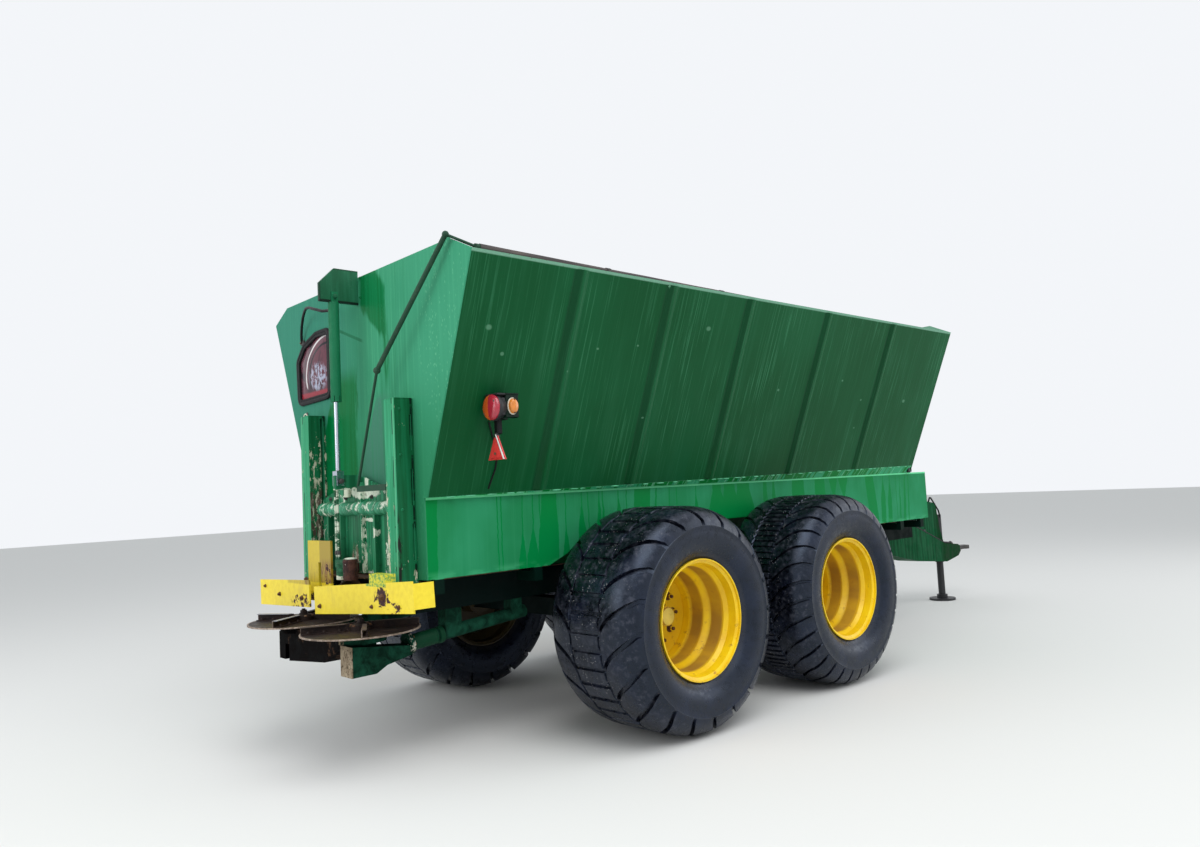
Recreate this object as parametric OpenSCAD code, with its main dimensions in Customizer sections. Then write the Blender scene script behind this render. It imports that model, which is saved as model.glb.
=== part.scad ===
// Tandem axle manure spreader: V hopper with a slatted floor, a rear gate and two spinner discs.
// Millimetres. +X is forward, +Y is left, +Z is up. The wheels and the jack's foot stand on z = 0.

/* [Hopper] */
// Length of the hopper from its rear wall to its front wall
hopper_l = 5280; // [4400:10:5400]
// Width of the hopper over its side walls at the top
hopper_top_w = 2408; // [2300:4:2520]
// Height of the side walls' top edge
hopper_top_z = 2716; // [2600:4:2900]
// How far the side walls' foot stands out from the skirts
ledge_w = 30; // [10:1:60]
// How far the side walls' lower edge lies in from the skirts
floor_inset = 153; // [120:1:200]
// Height where the ledge meets the side walls at the rear
hopper_foot_z = 1461; // [1450:1:1500]
// How much higher the ledge meets the side walls at the front
foot_rise = 66; // [20:1:90]
// Thickness of the hopper's plates
wall_t = 8; // [6:1:12]
// Distance from the tandem centre back to the rear wall
rear_reach = 2190; // [2000:10:2300]
// Height of the rear wall's raised middle above the side walls
crest_h = 92; // [60:2:120]
// Width of the rear wall's raised middle
crest_w = 2024; // [1800:4:2060]
// Width of the folded ribs on the side walls
rib_w = 104; // [60:2:140]
// Depth of the folded ribs on the side walls
rib_d = 16; // [8:1:30]
// Width of the rim along the top of the side walls
rim_w = 46; // [30:1:60]
// Height of the rim along the top of the side walls
rim_h = 38; // [26:1:60]

/* [Skirt] */
// Gap between a skirt and the tyres beside it
wheel_gap = 61; // [40:1:90]
// Height of the skirts' lower edge
skirt_bottom_z = 1014; // [1008:2:1060]
// Height of the skirts' top edge
skirt_top_z = 1457; // [1440:1:1460]
// How far the skirts reach in front of the hopper
skirt_front = 340; // [200:10:400]
// Thickness of the skirt plates
skirt_t = 8; // [6:1:12]
// Height of the raised lower edge over the wheels
wheel_cut_z = 1190; // [1120:2:1300]
// Half the length of the raised lower edge
wheel_cut_l = 1335; // [1200:5:1400]

/* [Chassis] */
// Height of the floor plate's top
floor_z = 1000; // [996:1:1006]
// Thickness of the floor plate
floor_t = 8; // [6:1:12]
// Height of the chassis rails
rail_h = 170; // [150:2:176]
// Width of a chassis rail
rail_w = 80; // [60:2:110]
// How far a chassis rail's centre lies in from the skirt
rail_inset = 216; // [200:1:260]
// Height of the cross members
cross_h = 62; // [50:1:80]
// Width of the cross members
cross_w = 90; // [60:2:120]
// Height of a floor slat
slat_h = 24; // [16:1:26]
// Width of a floor slat
slat_w = 50; // [30:2:80]
// Distance from slat to slat
slat_pitch = 377; // [300:1:450]

/* [Wheels] */
// Outer diameter of a tyre over its lugs
tyre_d = 1333; // [1320:1:1340]
// Width of a tyre
tyre_w = 711; // [680:1:720]
// Width over the tyres
track_outer_w = 2896; // [2890:2:3000]
// Distance between the two axles
wheelbase = 1587; // [1500:1:1700]
// Outer diameter of a rim's flange
rim_flange_d = 708; // [690:2:730]
// Width of a rim
rim_band_w = 610; // [560:2:640]
// Depth from a rim's outer flange to its disc
dish = 400; // [340:2:420]
// Diameter of a rim's wheel disc
disc_plate_d = 548; // [500:2:552]
// Diameter of the stud circle
stud_circle_d = 335; // [300:1:360]
// Studs on a wheel
studs = 10; // [6:1:12]
// Diameter of a hub cap
hub_cap_d = 112; // [90:1:140]
// How far a hub cap stands out from the disc
hub_cap_l = 124; // [80:1:150]
// Side of the square axle beams
axle_side = 120; // [90:1:130]
// Diameter of the stub axles
stub_d = 80; // [60:1:90]
// Running clearance of the wheel bearings
bearing_gap = 1; // [0.5:0.1:2]

/* [Tyre lugs] */
// Depth of the tread's lugs
lug_h = 26; // [15:1:34]

/* [Gate] */
// How far the gate's opening ends in from the skirts
gate_inset = 206; // [190:1:240]
// Height of the gate's opening
gate_open_h = 500; // [460:5:540]
// Width of a gate post
post_w = 114; // [100:1:130]
// Depth of a gate post
post_d = 115; // [110:1:130]
// Height of the gate posts' top
post_top_z = 2006; // [2000:2:2100]
// Height of the gate posts' lower end
post_bottom_z = 862; // [840:2:880]
// Thickness of the gate's plate
gate_t = 10; // [8:1:12]
// Room in front of and behind the gate's edge in its posts
gate_gap = 6; // [5:0.5:8]
// Depth of the grooves that guide the gate
groove_d = 40; // [30:1:50]
// Height of the gate's side edges above the floor
gate_side_h = 470; // [440:5:490]
// Extra height in the middle of the gate
gate_peak_h = 92; // [60:2:100]
// Height of the gap under the gate
gate_lift = 36; // [32:1:44]
// Height of the gate's cross rail
gate_rail_z = 1412; // [1380:2:1430]
// Radius of the gate's half round cross rail
gate_rail_r = 42; // [30:1:46]

/* [Gate cylinder] */
// Distance from the rear wall back to the cylinder's axis
cyl_off = 158; // [156:1:170]
// Diameter of the cylinder's barrel
barrel_d = 62; // [56:1:70]
// Wall of the cylinder's barrel
barrel_wall = 7; // [5:0.5:9]
// Length of the cylinder's barrel
barrel_l = 594; // [560:2:620]
// Height of the barrel's top end
barrel_top_z = 2640; // [2630:2:2660]
// Diameter of the rod
rod_d = 28; // [22:1:32]
// Running gap round the rod
rod_gap = 0.5; // [0.3:0.1:1]
// Thickness of the cylinder's bracket
bracket_t = 20; // [12:1:26]
// Height of the bracket
bracket_h = 206; // [160:2:230]
// Diameter of the cylinder's pins
pin_d = 20; // [16:1:24]

/* [Spinner] */
// Diameter of a spinner disc
spinner_d = 640; // [580:2:660]
// Distance between the spinners' axes
spinner_gauge = 716; // [700:2:740]
// Distance from the rear wall back to the spinners' axes
spinner_off = 230; // [220:2:250]
// Height of a spinner disc's top
spinner_z = 762; // [740:2:770]
// Thickness of a spinner disc
spinner_t = 8; // [6:1:12]
// Height of a spinner's vanes
vane_h = 38; // [26:1:44]
// Vanes on a spinner
vanes = 4; // [2:1:8]
// Diameter of a spinner's shaft
spinner_shaft_d = 45; // [35:1:60]
// Diameter of a spinner's gear housing
housing_d = 160; // [140:2:190]

/* [Guards] */
// Height of a guard bar
guard_h = 158; // [140:2:170]
// Thickness of a guard bar
guard_t = 10; // [6:1:14]
// Height of the right guard's lower edge at its inner end
guard_z = 815; // [812:1:830]
// Distance from the rear wall back to the guards' rear face
guard_off = 262; // [256:2:300]

/* [Drawbar] */
// Width of the drawbar
drawbar_w = 240; // [200:4:280]
// Distance from the tandem centre forward to the drawbar's nose
nose_reach = 5320; // [5200:10:5440]
// Length of the neck that carries the hitch eye
neck_l = 180; // [120:5:220]
// Height of the hitch eye's centre
eye_z = 545; // [530:1:560]
// Bore of the hitch eye
eye_bore = 50; // [40:1:60]
// Outer diameter of the hitch eye
eye_d = 130; // [110:2:150]
// Thickness of the hitch eye
eye_t = 40; // [30:1:50]
// Distance from the drawbar's nose back to the jack
jack_back = 370; // [330:10:440]
// Distance from the drawbar's nose back to its bend
bend_back = 1090; // [1000:10:1180]
// Diameter of the jack's foot
jack_foot_d = 280; // [200:5:320]
// Outer diameter of the jack's tube
jack_tube_d = 100; // [90:1:110]
// Diameter of the jack's leg
jack_leg_d = 74; // [60:1:78]
// Running gap round the jack's leg
jack_gap = 0.6; // [0.4:0.1:1.5]

/* [Hidden] */
$fn = 64;

// Places along X, measured from the tandem centre
eye_x = nose_reach + neck_l + eye_d / 2;
tandem_x = -(eye_x + eye_d / 2 - rear_reach - spinner_off - spinner_d / 2) / 2;
rear_x = -rear_reach;
front_x = rear_x + hopper_l;
skirt_front_x = front_x + skirt_front;
axle_x = wheelbase / 2;
cyl_x = rear_x - cyl_off;
spinner_x = rear_x - spinner_off;
guard_x = rear_x - guard_off;
post_x = rear_x - post_d;
gate_x = rear_x - 26;

// Gap left where one piece is seated on another
seat = 0.3;

// Half widths
skirt_hw = track_outer_w / 2 - tyre_w - wheel_gap;
foot_hw = skirt_hw + ledge_w;
floor_hw = skirt_hw - floor_inset;
gate_hw = skirt_hw - gate_inset;
top_hw = hopper_top_w / 2;
inner_hw = skirt_hw - skirt_t - seat;
lean = (top_hw - foot_hw) / (hopper_top_z - hopper_foot_z);
rail_y = skirt_hw - rail_inset;
post_y = gate_hw + post_w / 2 + gate_gap;
tyre_y = track_outer_w / 2 - tyre_w / 2;
rim_outer_y = tyre_y + rim_band_w / 2;
hub_y = rim_outer_y - dish;
spinner_y = spinner_gauge / 2;

// Places along the drawbar
jack_x = nose_reach - jack_back;
bend_x = nose_reach - bend_back;

// Heights
step_z = skirt_top_z + seat;
wheel_z = tyre_d / 2;
crest_z = hopper_top_z + crest_h;
rail_top_z = floor_z - floor_t;
rail_bottom_z = rail_top_z - rail_h;
axle_top_z = wheel_z + axle_side / 2;
bogie_top_z = rail_bottom_z - 24;
gate_bottom_z = floor_z + gate_lift;
barrel_bottom_z = barrel_top_z - barrel_l;
lug_z = gate_bottom_z + gate_side_h + gate_peak_h;

// Where the ribs stand on the side walls, as places along X from the rear wall
RIBS = [772, 1532, 2330, 3290, 4260];

// Half the width over the side walls at height z
function hw(z) = foot_hw + (z - hopper_foot_z) * lean;

// Moves the tandem centre to its place ahead of or behind the middle of the machine
module from_tandem() { translate([tandem_x, 0, 0]) children(); }

// Extrudes an outline drawn in (y, z) along X from xa to xb
module along_x(xa, xb) {
    translate([xa, 0, 0]) rotate([90, 0, 90]) linear_extrude(height = xb - xa) children();
}

// Extrudes an outline drawn in (x, z) along Y from ya to yb
module along_y(ya, yb) {
    translate([0, yb, 0]) rotate([90, 0, 0]) linear_extrude(height = yb - ya) children();
}

// A block given by its lowest and highest corners
module block(lo, hi) { translate(lo) cube(hi - lo); }

// Draws its children on the left for side 1 and on the right for side -1
module on_side(side) {
    if (side > 0) children();
    else mirror([0, 1, 0]) children();
}

// A round rod from point a to point b
module rod(a, b, d) {
    v = b - a;
    turn = atan2(v.y, v.x);
    tilt = acos(v.z / norm(v));
    translate(a) rotate([0, tilt, turn]) cylinder(d = d, h = norm(v));
}

// A tube swept along points, with rings of n sides; side is a direction that no stretch runs along
function unit(v) = v / norm(v);
function heading(p, i) = unit(p[min(i + 1, len(p) - 1)] - p[max(i - 1, 0)]);
function ring(c, t, side, r, n) =
    let (u = unit(cross(side, t)), w = cross(t, u))
    [for (k = [0 : n - 1]) c + r * (cos(360 * k / n) * u + sin(360 * k / n) * w)];
module swept_tube(p, r, side, n = 8) {
    m = len(p);
    verts = [for (i = [0 : m - 1]) each ring(p[i], heading(p, i), side, r, n)];
    sides = [for (i = [0 : m - 2], k = [0 : n - 1])
        [i * n + k, i * n + (k + 1) % n, (i + 1) * n + (k + 1) % n, (i + 1) * n + k]];
    start_cap = [[for (k = [0 : n - 1]) n - 1 - k]];
    end_cap = [[for (k = [0 : n - 1]) (m - 1) * n + k]];
    polyhedron(verts, concat(sides, start_cap, end_cap));
}

// Hopper side wall with its outer ribs, its rim and the ledge over the skirt
module side_wall(side) {
    color("darkgreen") from_tandem() on_side(side) {
        xa = rear_x + wall_t;
        xb = front_x - wall_t;
        along_x(xa, xb) polygon([
            [floor_hw, floor_z], [inner_hw, step_z], [inner_hw - wall_t, step_z], [floor_hw - wall_t, floor_z]]);
        difference() {
            along_x(xa, xb) polygon([
                [hw(step_z), step_z], [top_hw, hopper_top_z], [top_hw - wall_t, hopper_top_z],
                [hw(step_z) - wall_t, step_z]]);
            // the foot rises to the front
            translate([rear_x, 0, hopper_foot_z - wall_t]) rotate([0, -atan(foot_rise / hopper_l), 0])
                block([-wall_t, 0, -foot_rise * 3], [hopper_l * 1.1, 2 * skirt_hw, 0]);
        }
        along_x(xa, xb) polygon([
            [top_hw, hopper_top_z], [top_hw - rim_w, hopper_top_z],
            [top_hw - rim_w, hopper_top_z - rim_h], [hw(hopper_top_z - rim_h), hopper_top_z - rim_h]]);
        for (x = RIBS) {
            foot_z = hopper_foot_z + foot_rise * x / hopper_l + 4;
            slope_l = (hopper_top_z - foot_z - 14) * norm([1, lean]);
            translate([rear_x + x, hw(foot_z), foot_z]) rotate([-atan(lean), 0, 0]) linear_extrude(height = slope_l)
                polygon([[-rib_w / 2, -1], [rib_w / 2, -1], [0.12 * rib_w, rib_d], [-0.12 * rib_w, rib_d]]);
        }
        ledge();
    }
}

// The sloping ledge that closes the gap from the skirt's top edge to the side wall
module ledge() {
    ledge_t = 4;
    xa = rear_x + wall_t;
    hull() {
        for (end = [[xa, 0], [front_x - wall_t - 2, foot_rise]]) {
            foot_z = hopper_foot_z + end[1];
            block([end[0], inner_hw - wall_t, step_z], [end[0] + 2, skirt_hw, step_z + ledge_t]);
            block([end[0], hw(foot_z) - wall_t, foot_z - ledge_t], [end[0] + 2, hw(foot_z), foot_z]);
        }
    }
}

// Outline of the hopper's cross section down to height z, with its flared sides
function v_outline(z) = [[-hw(z), z], [hw(z), z], [top_hw, hopper_top_z], [-top_hw, hopper_top_z]];

module rear_wall() {
    ear_w = 26;
    ear_h = 42;
    color("seagreen") from_tandem() difference() {
        along_x(rear_x, rear_x + wall_t) {
            polygon(v_outline(skirt_top_z));
            polygon([
                [-top_hw, hopper_top_z], [top_hw, hopper_top_z],
                [crest_w / 2, crest_z], [-crest_w / 2, crest_z]]);
            polygon([
                [-skirt_hw, skirt_bottom_z], [skirt_hw, skirt_bottom_z],
                [skirt_hw, skirt_top_z], [-skirt_hw, skirt_top_z]]);
            polygon([
                [-crest_w / 2, crest_z], [-crest_w / 2 + 2 * ear_w, crest_z],
                [-crest_w / 2 + ear_w, crest_z + ear_h]]);
        }
        block([rear_x - 1, -gate_hw, floor_z - 1], [rear_x + wall_t + 1, gate_hw, floor_z + gate_open_h]);
        along_x(rear_x - 1, rear_x + wall_t + 1) polygon(WINDOW);
    }
}

module front_wall() {
    color("darkgreen") from_tandem()
        along_x(front_x - wall_t, front_x) {
            polygon([
                [-floor_hw, floor_z], [floor_hw, floor_z], [inner_hw, step_z], [hw(step_z), step_z],
                [top_hw, hopper_top_z], [-top_hw, hopper_top_z], [-hw(step_z), step_z], [-inner_hw, step_z]]);
            polygon([
                [-top_hw, hopper_top_z], [top_hw, hopper_top_z],
                [crest_w / 2, crest_z], [-crest_w / 2, crest_z]]);
        }
}

// The sight window beside the cylinder, as (y, z) corners
window_y = 600;
window_z = 2338;
WINDOW = [for (p = [[-200, -190], [215, -200], [225, 60], [130, 150], [-40, 200], [-200, 200]])
    [window_y + p[0], window_z + p[1]]];

module window_frame() {
    frame_t = 16;
    color("#181818") from_tandem() along_x(rear_x - frame_t - 0.3, rear_x - 0.3) difference() {
        offset(r = 34) polygon(WINDOW);
        offset(delta = -6) polygon(WINDOW);
    }
}

module window_pane() {
    color("#503840") from_tandem() along_x(rear_x + 1, rear_x + 6) offset(delta = -0.3) polygon(WINDOW);
}

// Floor plate, the two chains and their slats, and the rear driving shaft
module floor_conveyor() {
    plate_hw = floor_hw + 6;
    slat_hw = floor_hw - wall_t - 20;
    chain_w = 40;
    chain_h = 14;
    shaft_d = 60;
    shaft_drop = 90;
    sprocket_d = 150;
    shaft_x = rear_x + 90;
    color("#4a4038") from_tandem() {
        block([rear_x + wall_t, -plate_hw, rail_top_z], [front_x - wall_t, plate_hw, floor_z]);
        for (side = [-1, 1])
            translate([0, side * slat_hw * 0.78, 0])
                block([rear_x + 60, -chain_w / 2, floor_z], [front_x - 120, chain_w / 2, floor_z + chain_h]);
        for (x = [rear_x + 120 : slat_pitch : front_x - 160])
            block([x, -slat_hw, floor_z], [x + slat_w, slat_hw, floor_z + slat_h]);
        translate([shaft_x, 0, rail_top_z - shaft_drop]) rotate([90, 0, 0])
            cylinder(d = shaft_d, h = 2 * rail_y - rail_w - 1, center = true);
        for (side = [-1, 1])
            translate([shaft_x, side * slat_hw * 0.78, rail_top_z - shaft_drop]) rotate([90, 0, 0])
                cylinder(d = sprocket_d, h = 26, center = true);
    }
}

// Side skirt with its lower edge raised over the wheels
module skirt(side) {
    lip = 46;
    ramp = 150;
    xa = rear_x + wall_t;
    color("seagreen") from_tandem() on_side(side) {
        along_y(skirt_hw - skirt_t, skirt_hw) polygon([
            [xa, skirt_bottom_z], [-wheel_cut_l, skirt_bottom_z], [-wheel_cut_l + ramp, skirt_bottom_z + 62],
            [-wheel_cut_l + 2 * ramp, wheel_cut_z], [wheel_cut_l - 2 * ramp, wheel_cut_z],
            [wheel_cut_l - ramp, skirt_bottom_z + 62], [wheel_cut_l, skirt_bottom_z],
            [skirt_front_x, skirt_bottom_z], [skirt_front_x, skirt_top_z], [xa, skirt_top_z]]);
        block([xa, skirt_hw - lip, skirt_bottom_z], [-wheel_cut_l - 20, skirt_hw, skirt_bottom_z + skirt_t]);
        block([wheel_cut_l + 20, skirt_hw - lip, skirt_bottom_z], [skirt_front_x, skirt_hw, skirt_bottom_z + skirt_t]);
        // outriggers from the chassis rails
        for (x = [xa + 40, -wheel_cut_l - 120, wheel_cut_l + 120, front_x - 200, skirt_front_x - 160]) {
            block([x, rail_y + rail_w / 2, rail_top_z - 60], [x + 60, skirt_hw, rail_top_z]);
            block([x, skirt_hw - 36, rail_top_z - 60], [x + 60, skirt_hw, skirt_bottom_z + skirt_t]);
        }
    }
}

// The closed box between the skirts in front of the hopper
module front_apron() {
    color("seagreen") from_tandem() {
        block([skirt_front_x - skirt_t, -inner_hw, skirt_bottom_z + skirt_t], [skirt_front_x, inner_hw, skirt_top_z]);
        block([front_x, -inner_hw, skirt_top_z - skirt_t], [skirt_front_x, inner_hw, skirt_top_z]);
        for (side = [-1, 1])
            translate([0, side * rail_y, 0])
                block([front_x, -rail_w / 2, rail_top_z], [skirt_front_x, rail_w / 2, skirt_bottom_z + skirt_t]);
    }
}

module chassis_rail(side) {
    color("darkgreen") from_tandem() on_side(side)
        block([rear_x + wall_t, rail_y - rail_w / 2, rail_bottom_z], [skirt_front_x, rail_y + rail_w / 2, rail_top_z]);
}

// Cross members between the rails, and the cross beam that the guards hang from
module cross_members() {
    cross_hw = rail_y - rail_w / 2;
    color("darkgreen") from_tandem()
        for (x = [rear_x + 360, -axle_x - cross_w / 2, axle_x - cross_w / 2, front_x - 590, skirt_front_x - cross_w])
            block([x, -cross_hw, rail_top_z - cross_h], [x + cross_w, cross_hw, rail_top_z]);
}

// Rocking beam that joins the two axles under a rail, with its pivot block
module bogie(side) {
    pivot_l = 240;
    end_l = axle_x + 90;
    color("#20442c") from_tandem() on_side(side) {
        block([-end_l, rail_y - rail_w / 2, axle_top_z], [end_l, rail_y + rail_w / 2, bogie_top_z]);
        block([-pivot_l / 2, rail_y - rail_w / 2, bogie_top_z], [pivot_l / 2, rail_y + rail_w / 2, rail_bottom_z]);
    }
}

// Square beam with a round stub at each end that carries the wheel
module axle(x) {
    beam_hw = hub_y - 158;
    color("#20442c") from_tandem() translate([x, 0, wheel_z]) {
        cube([axle_side, 2 * beam_hw, axle_side], center = true);
        rotate([90, 0, 0]) cylinder(d = stub_d, h = 2 * (hub_y + 30), center = true);
    }
}

// Tyre section: half outline in (radius, y) mirrored about the wheel's middle plane
module tyre(x, side) {
    bead_r = rim_flange_d / 2 - 16;
    crown_r = tyre_d / 2 - lug_h;
    half_w = tyre_w / 2;
    bead_hw = rim_band_w / 2 - 23;
    shoulder = [[bead_r, bead_hw], [bead_r + 26, bead_hw + 14], [bead_r + 90, half_w - 8], [bead_r + 140, half_w],
        [bead_r + 200, half_w - 3], [crown_r - 55, half_w - 24], [crown_r - 16, half_w - 60], [crown_r, half_w - 130]];
    color("#1c1c1e") from_tandem() translate([x, side * tyre_y, wheel_z]) rotate([90, 0, 0]) {
        rotate_extrude($fn = 96) polygon(concat(
            shoulder, [for (i = [len(shoulder) - 1 : -1 : 0]) [shoulder[i][0], -shoulder[i][1]]]));
        // the crown that the lugs' tips reach
        rotate_extrude($fn = 96) polygon([
            [crown_r - 2, half_w - 160], [tyre_d / 2, half_w - 175], [tyre_d / 2, -half_w + 175],
            [crown_r - 2, -half_w + 160]]);
    }
}

// Deep dished rim with its stepped barrel, disc, studs, hub and hub cap; the outer face looks along +Y
module rim(x, side) {
    flange_r = rim_flange_d / 2;
    disc_r = disc_plate_d / 2;
    band_t = 8;
    disc_t = 20;
    hub_d = 230;
    hub_l = 150;
    // (radius, depth from the outer flange)
    steps = [[flange_r, 0], [flange_r, 14], [flange_r - 18, 22], [flange_r - 22, 75], [flange_r - 38, 100],
        [flange_r - 40, 200], [flange_r - 64, 240], [flange_r - 66, 330], [disc_r + 4, 352], [disc_r + 2, dish + 20],
        [disc_r + 2, 470], [flange_r - 22, 520], [flange_r - 18, rim_band_w - 22], [flange_r, rim_band_w - 14],
        [flange_r, rim_band_w]];
    color("#e8c818") from_tandem() translate([x, 0, wheel_z]) rotate([90, 0, 0]) mirror([0, 0, side > 0 ? 1 : 0]) {
        difference() {
            union() {
                rotate_extrude($fn = 96) polygon(concat(
                    [for (s = steps) [s[0], rim_outer_y - s[1]]],
                    [for (i = [len(steps) - 1 : -1 : 0]) [steps[i][0] - band_t, rim_outer_y - steps[i][1]]]));
                translate([0, 0, hub_y - disc_t]) cylinder(r = disc_r, h = disc_t);
                translate([0, 0, hub_y - hub_l]) cylinder(d = hub_d, h = hub_l);
                translate([0, 0, hub_y]) cylinder(d = hub_cap_d * 1.3, h = 34);
                translate([0, 0, hub_y]) cylinder(d = hub_cap_d, h = hub_cap_l);
                for (k = [0 : studs - 1])
                    rotate([0, 0, 360 * k / studs]) translate([stud_circle_d / 2, 0, hub_y - 1])
                        cylinder(d = 34, h = 27, $fn = 6);
            }
            translate([0, 0, hub_y - hub_l - 1]) cylinder(d = stub_d + 2 * bearing_gap, h = hub_l + 36);
            // pockets round the hub
            for (k = [0 : 5])
                rotate([0, 0, 60 * k + 30]) translate([0, 0, hub_y - 12]) linear_extrude(height = 13)
                    polygon([[82, 0], [100, 26], [122, 14], [122, -14], [100, -26]]);
        }
    }
}

// The two upright posts in whose grooves the gate runs
module gate_posts() {
    slot_w = 12;
    color("seagreen") from_tandem() for (side = [-1, 1]) on_side(side) difference() {
        block([post_x, post_y - post_w / 2, post_bottom_z], [rear_x, post_y + post_w / 2, post_top_z]);
        block([gate_x - gate_t / 2 - gate_gap, post_y - post_w / 2 - 1, gate_bottom_z - 40],
            [gate_x + gate_t / 2 + gate_gap, post_y - post_w / 2 + groove_d, post_top_z - 12]);
        for (z = [1120, 1420, 1720])
            block([rear_x - 26, post_y + post_w / 2 - 10, z], [rear_x - 26 + slot_w, post_y + post_w / 2 + 1, z + 200]);
    }
}

// Sliding gate with its half round rail, its uprights and the lug for the cylinder's rod
module gate() {
    plate_hw = post_y - post_w / 2 + groove_d - gate_gap;
    inner_hw = post_y - post_w / 2 - gate_gap;
    side_z = gate_bottom_z + gate_side_h;
    face_x = gate_x - gate_t / 2;
    lug_t = 24;
    color("seagreen") from_tandem() difference() {
        union() {
            along_x(face_x, gate_x + gate_t / 2) polygon([
                [-plate_hw, gate_bottom_z], [plate_hw, gate_bottom_z], [plate_hw, side_z - 30],
                [inner_hw, side_z - 30], [60, lug_z], [-60, lug_z], [-inner_hw, side_z - 30], [-plate_hw, side_z - 30]]);
            intersection() {
                translate([face_x, 0, gate_rail_z]) rotate([90, 0, 0])
                    cylinder(r = gate_rail_r, h = 2 * inner_hw, center = true);
                block([face_x - gate_rail_r, -inner_hw, gate_rail_z - gate_rail_r],
                    [face_x, inner_hw, gate_rail_z + gate_rail_r]);
            }
            for (y = [90 - gate_hw, 240 - gate_hw, gate_hw - 280, gate_hw - 120])
                block([face_x - 32, y - 9, gate_bottom_z], [face_x, y + 9, gate_rail_z - gate_rail_r + 4]);
            block([face_x - 26, -70, gate_bottom_z], [face_x, -30, lug_z - 30]);
            block([cyl_x - 28, -lug_t / 2, lug_z - 70], [face_x, lug_t / 2, lug_z + 14]);
        }
        translate([cyl_x, 0, lug_z - 20]) rotate([90, 0, 0])
            cylinder(d = pin_d + 1, h = lug_t + 2, center = true);
    }
}

// Motor at the gate's foot, the valve beside it and the two pipes that feed them
module gate_motor() {
    motor_x = cyl_x + 28;
    motor_y = -62;
    valve_y = 32;
    pipe_x = cyl_x + 14;
    face_x = gate_x - gate_t / 2;
    color("#6b5446") from_tandem() {
        translate([motor_x, motor_y, gate_bottom_z - 30]) cylinder(d = 84, h = 116);
        translate([motor_x, valve_y, gate_bottom_z - 30]) cylinder(d = 76, h = 92);
        block([motor_x - 24, motor_y, gate_bottom_z + 40], [motor_x + 30, 84, gate_bottom_z + 84]);
        block([motor_x + 26, -28, gate_bottom_z + 6], [face_x - 0.3, 40, gate_bottom_z + 60]);
        for (y = [50, 76])
            translate([pipe_x, y, gate_bottom_z + 80]) cylinder(d = 14, h = lug_z - gate_bottom_z - 96);
        block([pipe_x - 8, 42, lug_z - 40], [face_x - seat, 84, lug_z - 16]);
    }
}

// Rod with its forked eye and pin at the gate's lug
module gate_rod() {
    fork_w = 56;
    slot_w = 25;
    rod_top = barrel_bottom_z + 90;
    color("silver") from_tandem() translate([cyl_x, 0, 0]) {
        difference() {
            union() {
                block([-22, -fork_w / 2, lug_z - 46], [22, fork_w / 2, lug_z + 40]);
                translate([0, 0, lug_z + 39]) cylinder(d = rod_d, h = rod_top - lug_z - 39);
            }
            block([-30, -slot_w / 2, lug_z - 50], [30, slot_w / 2, lug_z + 15]);
        }
        translate([0, 0, lug_z - 20]) rotate([90, 0, 0]) cylinder(d = pin_d, h = fork_w + 16, center = true);
    }
}

// Barrel with its bore, its gland and the fork that hangs from the bracket
module gate_barrel() {
    bore_d = barrel_d - 2 * barrel_wall;
    cap = 26;
    fork_h = 62;
    color("darkgreen") from_tandem() translate([cyl_x, 0, 0]) {
        difference() {
            translate([0, 0, barrel_bottom_z]) cylinder(d = barrel_d, h = barrel_l);
            translate([0, 0, barrel_bottom_z + cap]) cylinder(d = bore_d, h = barrel_l - 2 * cap);
            translate([0, 0, barrel_bottom_z - 1]) cylinder(d = rod_d + 2 * rod_gap, h = cap + 2);
        }
        for (side = [-1, 1]) on_side(side)
            block([-20, bracket_t / 2 + 0.3, barrel_top_z - 1], [20, bracket_t / 2 + 10, barrel_top_z + fork_h]);
        translate([0, 0, barrel_top_z + 34]) rotate([90, 0, 0])
            cylinder(d = pin_d, h = bracket_t + 32, center = true);
    }
}

// Plate on the rear wall that carries the cylinder
module cylinder_bracket() {
    low_z = barrel_top_z + 0.4;
    reach = cyl_off + 92;
    chamfer = 96;
    color("seagreen") from_tandem() difference() {
        along_y(-bracket_t / 2, bracket_t / 2) polygon([
            [rear_x - 0.2, low_z], [rear_x - reach, low_z], [rear_x - reach, low_z + bracket_h - chamfer],
            [rear_x - reach + chamfer, low_z + bracket_h], [rear_x - 0.2, low_z + bracket_h]]);
        translate([cyl_x, 0, barrel_top_z + 34]) rotate([90, 0, 0])
            cylinder(d = pin_d + 0.6, h = bracket_t + 2, center = true);
    }
}

// Hose from the barrel's top round to its clamp above the window's outer corner, as points
HOSE = [[-2348, 31.4, 2606], [-2348, 80, 2606], [-2350, 150, 2616], [-2344, 230, 2640], [-2330, 320, 2664],
    [-2310, 410, 2690], [-2288, 500, 2704], [-2262, 580, 2702], [-2242, 650, 2676], [-2226, 706, 2630],
    [-2214, 742, 2580], [-2207, 758, 2546], [-2199, 764, 2527], [-2190.6, 764, 2527]];

// Lamp cable down the side wall to the ledge, as places along X and heights
CABLE = [[-1880, 1856], [-1850, 1800], [-1806, 1730], [-1778, 1660], [-1776, 1600], [-1788, 1545], [-1798, 1490]];
cable_r = 5;

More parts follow.
